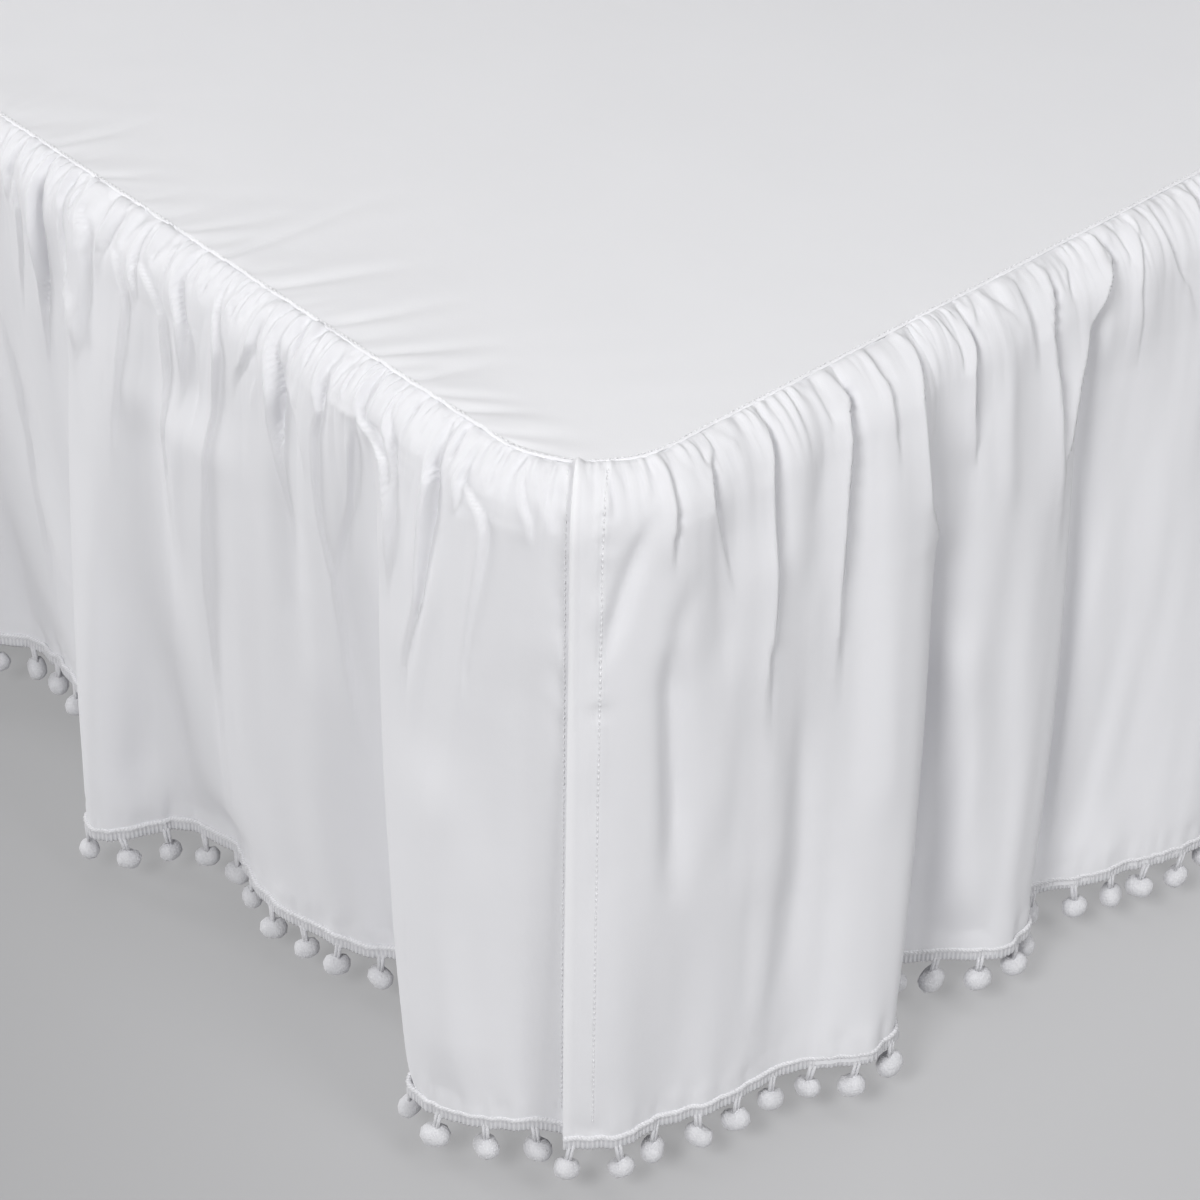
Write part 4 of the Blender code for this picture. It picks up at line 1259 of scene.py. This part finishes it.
@dataclass
class PompomTrim:
    """Ribbed braid along a drop's hem, with yarn tufts on double cords."""

    drop: GatheredDrop
    first: float                     # running length to its first pompom
    pitch: float
    braid_height: float = 0.0082
    braid_thickness: float = 0.0014
    rib: float = 0.0023
    rib_depth: float = 0.00035
    scallop: float = 0.0008          # how far its lower edge dips at each rib
    corded_from: float = 0.65        # share of the height where its cord begins
    fine_past: float = 0.02          # how far past the cloth's fine part it is fine too
    step: float = 0.00058
    plain_step: float = 0.0022
    ball: float = 0.0136
    cord: float = 0.0072
    cord_radius: float = 0.00105
    cord_roots: float = 0.0011       # half the distance between the two cords at the braid
    cord_ends: float = 0.0007        # and in the tuft
    cord_up: float = 0.0022          # how far they end above the braid's lower edge
    cord_down: float = 0.0022        # and above the tuft's middle
    stand_off: float = 0.0007
    last_clear: float = 0.006        # length left free behind the last pompom
    hem_row: int = -5                # row of the cloth that the braid follows
    sunk: float = 0.0001             # how far the braid is let into the cloth
    path: np.ndarray = field(init=False)
    lengths: np.ndarray = field(init=False)

    def __post_init__(self) -> None:
        """Take the path from the cloth near its hem."""
        self.path = self.drop.surface[:, self.hem_row, :2]
        self.lengths = running_length(self.path)

    def bottom(self) -> float:
        """Height of the braid's lower edge."""
        plan = self.drop.plan
        return plan.seam_z - plan.cloth_drop - self.braid_height

    def along(self, lengths: np.ndarray) -> tuple[np.ndarray, np.ndarray]:
        """Places and outward directions on the hem.

        Args:
            lengths: running lengths along the hem.

        Returns:
            Plan points and unit vectors.
        """
        here, ahead, behind = (
            np.stack([np.interp(lengths + shift, self.lengths, self.path[:, part])
                      for part in range(2)], -1) for shift in (0, 0.002, -0.002))
        way = ahead - behind
        normal = np.stack([way[:, 1], -way[:, 0]], -1)
        normal *= 1 if self.drop.side is Side.RIGHT else -1
        return here, normal / np.linalg.norm(normal, axis=1, keepdims=True)

    def braid(self, yarn: bpy.types.Material) -> bpy.types.Object:
        """Make the braid: a ribbed band with a corded upper edge and a scalloped lower one."""
        total = self.lengths[-1]
        fine = float(np.interp(self.drop.fine_to + self.fine_past, self.drop.curve[:, 0],
                               self.drop.hem_length)) if self.drop.fine_to else 0.0
        lengths = np.concatenate([np.arange(0, fine, self.step),
                                  np.linspace(fine, total, round((total - fine)
                                                                 / self.plain_step))])
        here, normal = self.along(lengths)
        outline = np.array(BRAID_OUTLINE)
        high, thick = outline[None, :, 0], outline[None, :, 1]
        phase = lengths[:, None] / self.rib * 2 * math.pi
        ribbed = np.sin(phase / 2 + math.pi / 4) ** 2
        corded = np.sin(phase + high * 14) * (high > self.corded_from)
        depth = (self.braid_thickness * thick
                 + self.rib_depth * (ribbed + 0.7 * corded) * (thick > 0.1))
        rise = self.bottom() + self.braid_height * high - self.scallop * ribbed * (high < 0.05)
        spread = here[:, None] + normal[:, None] * (depth - self.sunk)[..., None]
        places = np.concatenate([spread, rise[..., None]], -1)
        flat = np.stack(np.broadcast_arrays(lengths[:, None], high * self.braid_height), -1)
        band = sheet_mesh(f"{self.drop.side.value}_braid", places, flat,
                          np.ones(places.shape[:2]), self.drop.side is not Side.RIGHT)
        bm = bmesh.new()
        bm.from_mesh(band.data)
        bmesh.ops.remove_doubles(bm, verts=bm.verts, dist=1e-6)
        bmesh.ops.holes_fill(bm, edges=[edge for edge in bm.edges if edge.is_boundary])
        for edge in bm.edges:
            edge.smooth = True
        bm.to_mesh(band.data)
        bm.free()
        return fit(band, yarn, "trim", f"trim_{self.drop.side.value}")

    def places(self) -> np.ndarray:
        """Running lengths of the pompoms."""
        return np.arange(self.first, self.lengths[-1] - self.last_clear, self.pitch)

    def pompoms(self, yarn: bpy.types.Material) -> bpy.types.Object:
        """Make the pompoms: two-lobed tufts, each on a double cord."""
        rng = random.Random(self.drop.seed)
        bm = bmesh.new()
        spots, normals = self.along(self.places())
        centre_z = self.bottom() - self.cord - self.ball / 2
        for spot, normal in zip(spots, normals):
            along = math.atan2(normal[1], normal[0]) + math.pi / 2
            swing = Vector((math.cos(along), math.sin(along), 0)) * rng.uniform(-0.003, 0.003)
            centre = Vector((*(spot + normal * self.stand_off), centre_z)) + swing
            centre.z += rng.uniform(-0.0006, 0.0012)
            self.tuft(bm, centre, along + rng.uniform(-0.9, 0.9), rng)
            self.cords(bm, centre, Vector((*(spot + normal * self.stand_off),
                                           self.bottom() + self.cord_up)), along)
        return fit(to_object(f"{self.drop.side.value}_pompoms", bm), yarn, "trim")

    def tuft(self, bm: bmesh.types.BMesh, centre: Vector, turn: float,
             rng: random.Random) -> None:
        """Add one tuft of cut yarn, pinched in the middle where its cord ties it.

        Args:
            bm: the mesh that it joins.
            centre: its middle.
            turn: the way its two lobes lie, about Z.
            rng: its random shape.
        """
        made = bmesh.ops.create_icosphere(bm, subdivisions=2, radius=1.0)["verts"]
        lean = rng.uniform(-0.6, 0.6)
        pinch = rng.uniform(0.22, 0.42)
        size = self.ball / 2 * rng.uniform(0.92, 1.06)
        frame_turn = Matrix.Rotation(turn, 3, "Z") @ Matrix.Rotation(lean, 3, "Y")
        for vert in made:
            way = vert.co.normalized()
            waist = math.exp(-(way.x / 0.34) ** 2)
            top = max(0.0, way.z)
            reach = 1 - pinch * waist * (0.35 + 0.65 * top) + rng.uniform(-0.035, 0.035)
            shape = Vector((way.x * 1.12, way.y * 0.96, way.z)) * reach
            vert.co = centre + frame_turn @ shape * size

    def cords(self, bm: bmesh.types.BMesh, centre: Vector, root: Vector, turn: float) -> None:
        """Add the two cords of one pompom.

        Args:
            bm: the mesh that they join.
            centre: the pompom's middle.
            root: the middle of their roots on the braid.
            turn: the braid's direction about Z.
        """
        way = Vector((math.cos(turn), math.sin(turn), 0))
        for side in (-1, 1):
            start = root + way * side * self.cord_roots
            end = centre + way * side * self.cord_ends + Vector((0, 0, self.cord_down))
            bmesh.ops.create_cone(bm, cap_ends=True, segments=6, radius1=self.cord_radius,
                                  radius2=self.cord_radius, depth=(end - start).length,
                                  matrix=laid_along(start, end))


# --- stitches -----------------------------------------------------------------------------
@dataclass
class Stitching:
    """Rows of short thread stitches."""

    name: str
    pitch: float = 0.0032
    length: float = 0.0021
    radius: float = 0.00032

    def build(self, lines: list[np.ndarray], yarn: bpy.types.Material) -> bpy.types.Object:
        """Lay stitches along lines of points.

        Args:
            lines: arrays of points in metres.
            yarn: the thread's finish.

        Returns:
            The piece.
        """
        bm = bmesh.new()
        for line in lines:
            lengths = running_length(line)
            for start in np.arange(self.pitch / 2, lengths[-1] - self.pitch, self.pitch):
                ends = [Vector([float(np.interp(where, lengths, line[:, part]))
                                for part in range(3)])
                        for where in (start, start + self.length)]
                shape = Matrix.Diagonal((self.radius, self.radius, self.length / 2, 1))
                bmesh.ops.create_icosphere(bm, subdivisions=1, radius=1.0,
                                           matrix=laid_along(*ends) @ shape)
        return fit(to_object(self.name, bm), yarn, "cotton")


# --- base ---------------------------------------------------------------------------------
@dataclass
class BedBase:
    """The base under the skirt and its legs: carried-over solids with their finishes."""

    legs: int = 6

    def dress(self, cloth: bpy.types.Material, wood: bpy.types.Material) -> None:
        """Give the solids their materials."""
        names = ["bed_base"] + [f"bed_leg_{number}" for number in range(1, self.legs + 1)]
        for name in names:
            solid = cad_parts[name]
            solid.data.materials.clear()
            solid.data.materials.append(cloth if name == "bed_base" else wood)
            log.info("%s: carried over", name)


# --- studio -------------------------------------------------------------------------------
@dataclass
class Studio:
    """Floor, lights, dark sky and camera."""

    plan: SeamPlan
    lens_px: float = 3000.0          # focal length, in pixels of a frame this wide:
    frame_px: float = 1200.0
    sensor: float = 36.0             # its width, in millimetres
    clip_start: float = 0.02
    pitch: float = math.radians(37.53345)
    heading: float = math.radians(48.09504707)
    stand: tuple[float, float, float] = (0.77887289, -0.68810932, 0.74104808)
    lamp_distance: float = 4.0
    lamp_size: float = 1.3
    aim: tuple[float, float, float] = (0.3, -0.75, 0.25)
    floor_size: float = 15.0
    # Lamps.  Columns: azimuth and elevation in degrees, power in watts.
    lamps: tuple[tuple[float, float, float], ...] = (
        (-155, 20, 60), (-105, 15, 8), (-70, 42, 90), (5, 42, 47), (15, 15, 8), (20, 65, 16),
        (0, 88, 14))

    def floor(self) -> None:
        """Lay the floor."""
        bm = bmesh.new()
        bmesh.ops.create_grid(bm, x_segments=1, y_segments=1, size=self.floor_size)
        ground = to_object("studio_floor", bm)
        ground.data.materials.append(StudioFloor().material())

    def lights(self) -> None:
        """Hang the large soft lamps round the corner, under a sky that gives no light."""
        for number, (azimuth, elevation, power) in enumerate(self.lamps):
            turn, tilt = math.radians(azimuth), math.radians(elevation)
            way = Vector((math.cos(turn) * math.cos(tilt), math.sin(turn) * math.cos(tilt),
                          math.sin(tilt)))
            lamp = bpy.data.lights.new(f"soft_box_{number}", "AREA")
            lamp.shape = "DISK"
            lamp.size = self.lamp_size
            lamp.energy = power
            hung = bpy.data.objects.new(lamp.name, lamp)
            hung.location = Vector(self.aim) + way * self.lamp_distance
            hung.rotation_euler = (-way).to_track_quat("-Z", "Y").to_euler()
            bpy.context.scene.collection.objects.link(hung)
        world = bpy.data.worlds.new("sky")
        world.use_nodes = True
        world.node_tree.nodes["Background"].inputs["Strength"].default_value = 0.0
        bpy.context.scene.world = world

    def camera(self) -> None:
        """Stand the camera off the corner, looking down at it."""
        plan = self.plan
        corner = Vector((plan.half_width + plan.shift[0], plan.foot_y + plan.shift[1],
                         plan.seam_z))
        ahead = Vector((-math.sin(self.heading), math.cos(self.heading), 0))
        right = Vector((math.cos(self.heading), math.sin(self.heading), 0))
        forward = ahead * math.cos(self.pitch) - Vector((0, 0, math.sin(self.pitch)))
        upward = right.cross(forward)
        turn = Matrix((right, upward, -forward)).transposed()
        lens = bpy.data.cameras.new("camera")
        lens.sensor_width = self.sensor
        lens.lens = self.lens_px / self.frame_px * self.sensor
        lens.clip_start = self.clip_start
        view = bpy.data.objects.new("camera", lens)
        view.matrix_world = Matrix.Translation(corner + Vector(self.stand)) @ turn.to_4x4()
        bpy.context.scene.collection.objects.link(view)
        bpy.context.scene.camera = view

    def build(self) -> None:
        """Set everything up."""
        self.floor()
        self.lights()
        self.camera()
        bpy.context.scene.view_settings.view_transform = "Standard"


def drops(plan: SeamPlan) -> dict[Side, GatheredDrop]:
    """The three drops; past their tables, seeded random folds, tucks and creases follow."""
    side_mm, foot_mm = plan.side_run / MM, plan.foot_run / MM
    end = far_corner(plan.foot_run)
    head_right, head_left = Fold(side_mm, side_mm, 48), Fold(side_mm, side_mm, 50)
    left_start = [Fold(-3.4, -3.4, 67), *CORNER_FOLDS[1:]]
    return {
        Side.RIGHT: GatheredDrop(
            plan, Side.RIGHT,
            (*RIGHT_FOLDS, *plain_folds(RIGHT_FOLDS[-1], head_right, 11), head_right),
            (*RIGHT_TUCKS, *plain_tucks(448, side_mm, 12)),
            (*RIGHT_CREASES, *plain_creases(440, side_mm, 13)),
            fine_to=0.45, end_hem=False, seed=14,
            fine_pitch=0.0012, plain_pitch=0.0058,
            fineness=0.55, swell=0.8, softens=0.3, gap=4.8, gap_width=1.5),
        Side.FOOT: GatheredDrop(
            plan, Side.FOOT,
            (CORNER_FOLDS[0], *FOOT_FOLDS, *plain_folds(FOOT_FOLDS[-1], end[0], 23), *end),
            (*FOOT_TUCKS, *plain_tucks(454, foot_mm - 8, 24)),
            (*FOOT_CREASES, *plain_creases(470, foot_mm - 20, 25)),
            fine_to=0.47, end_hem=True, seed=26,
            tucked=0.0035, hem_turn=0.0040, edge_roll=0.0011),
        Side.LEFT: GatheredDrop(
            plan, Side.LEFT,
            (*left_start, *plain_folds(left_start[-1], head_left, 37), head_left),
            tuple(plain_tucks(10, side_mm, 38)),
            tuple(plain_creases(20, side_mm, 39)),
            fine_to=0.0, end_hem=False, seed=40, plain_pitch=0.0038),
    }


def main() -> None:
    """Build every piece, then the studio."""
    logging.basicConfig(level=logging.INFO, format="%(message)s")
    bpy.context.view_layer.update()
    low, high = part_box("bed_base")
    shift = ((low[0] + high[0]) / 2, (low[1] + high[1]) / 2)
    plan = SeamPlan(shift=shift)
    cotton = CottonWeave().material()
    braid_yarn = RibbedBraid(PompomTrim.braid_height, PompomTrim.rib).material()
    thread = Yarn("sewing_thread", light=(0.92, 0.92, 0.93), dark=(0.86, 0.86, 0.88),
                  fuzz=0.0003, fuzz_depth=0.00005).material()
    tuft_yarn = Yarn("tuft_yarn", light=(0.82, 0.82, 0.84), dark=(0.62, 0.62, 0.65),
                     fuzz=0.0010, fuzz_depth=0.0008).material()
    platform = Platform(plan)
    flat = platform.build(cotton)
    lines = platform.seam_lines()
    for drop in drops(plan).values():
        cloth = drop.build(cotton)
        lines += drop.hem_lines()
        trim = PompomTrim(drop, *POMPOMS[drop.side])
        braid, tufts = trim.braid(braid_yarn), trim.pompoms(tuft_yarn)
        plan.cloth_drop + drop.behind_braid
    Stitching("topstitching").build(lines, thread)
    BedBase().dress(BaseCloth().material(), StainedWood().material())
    Studio(plan).build()


if __name__ == "__main__":
    main()
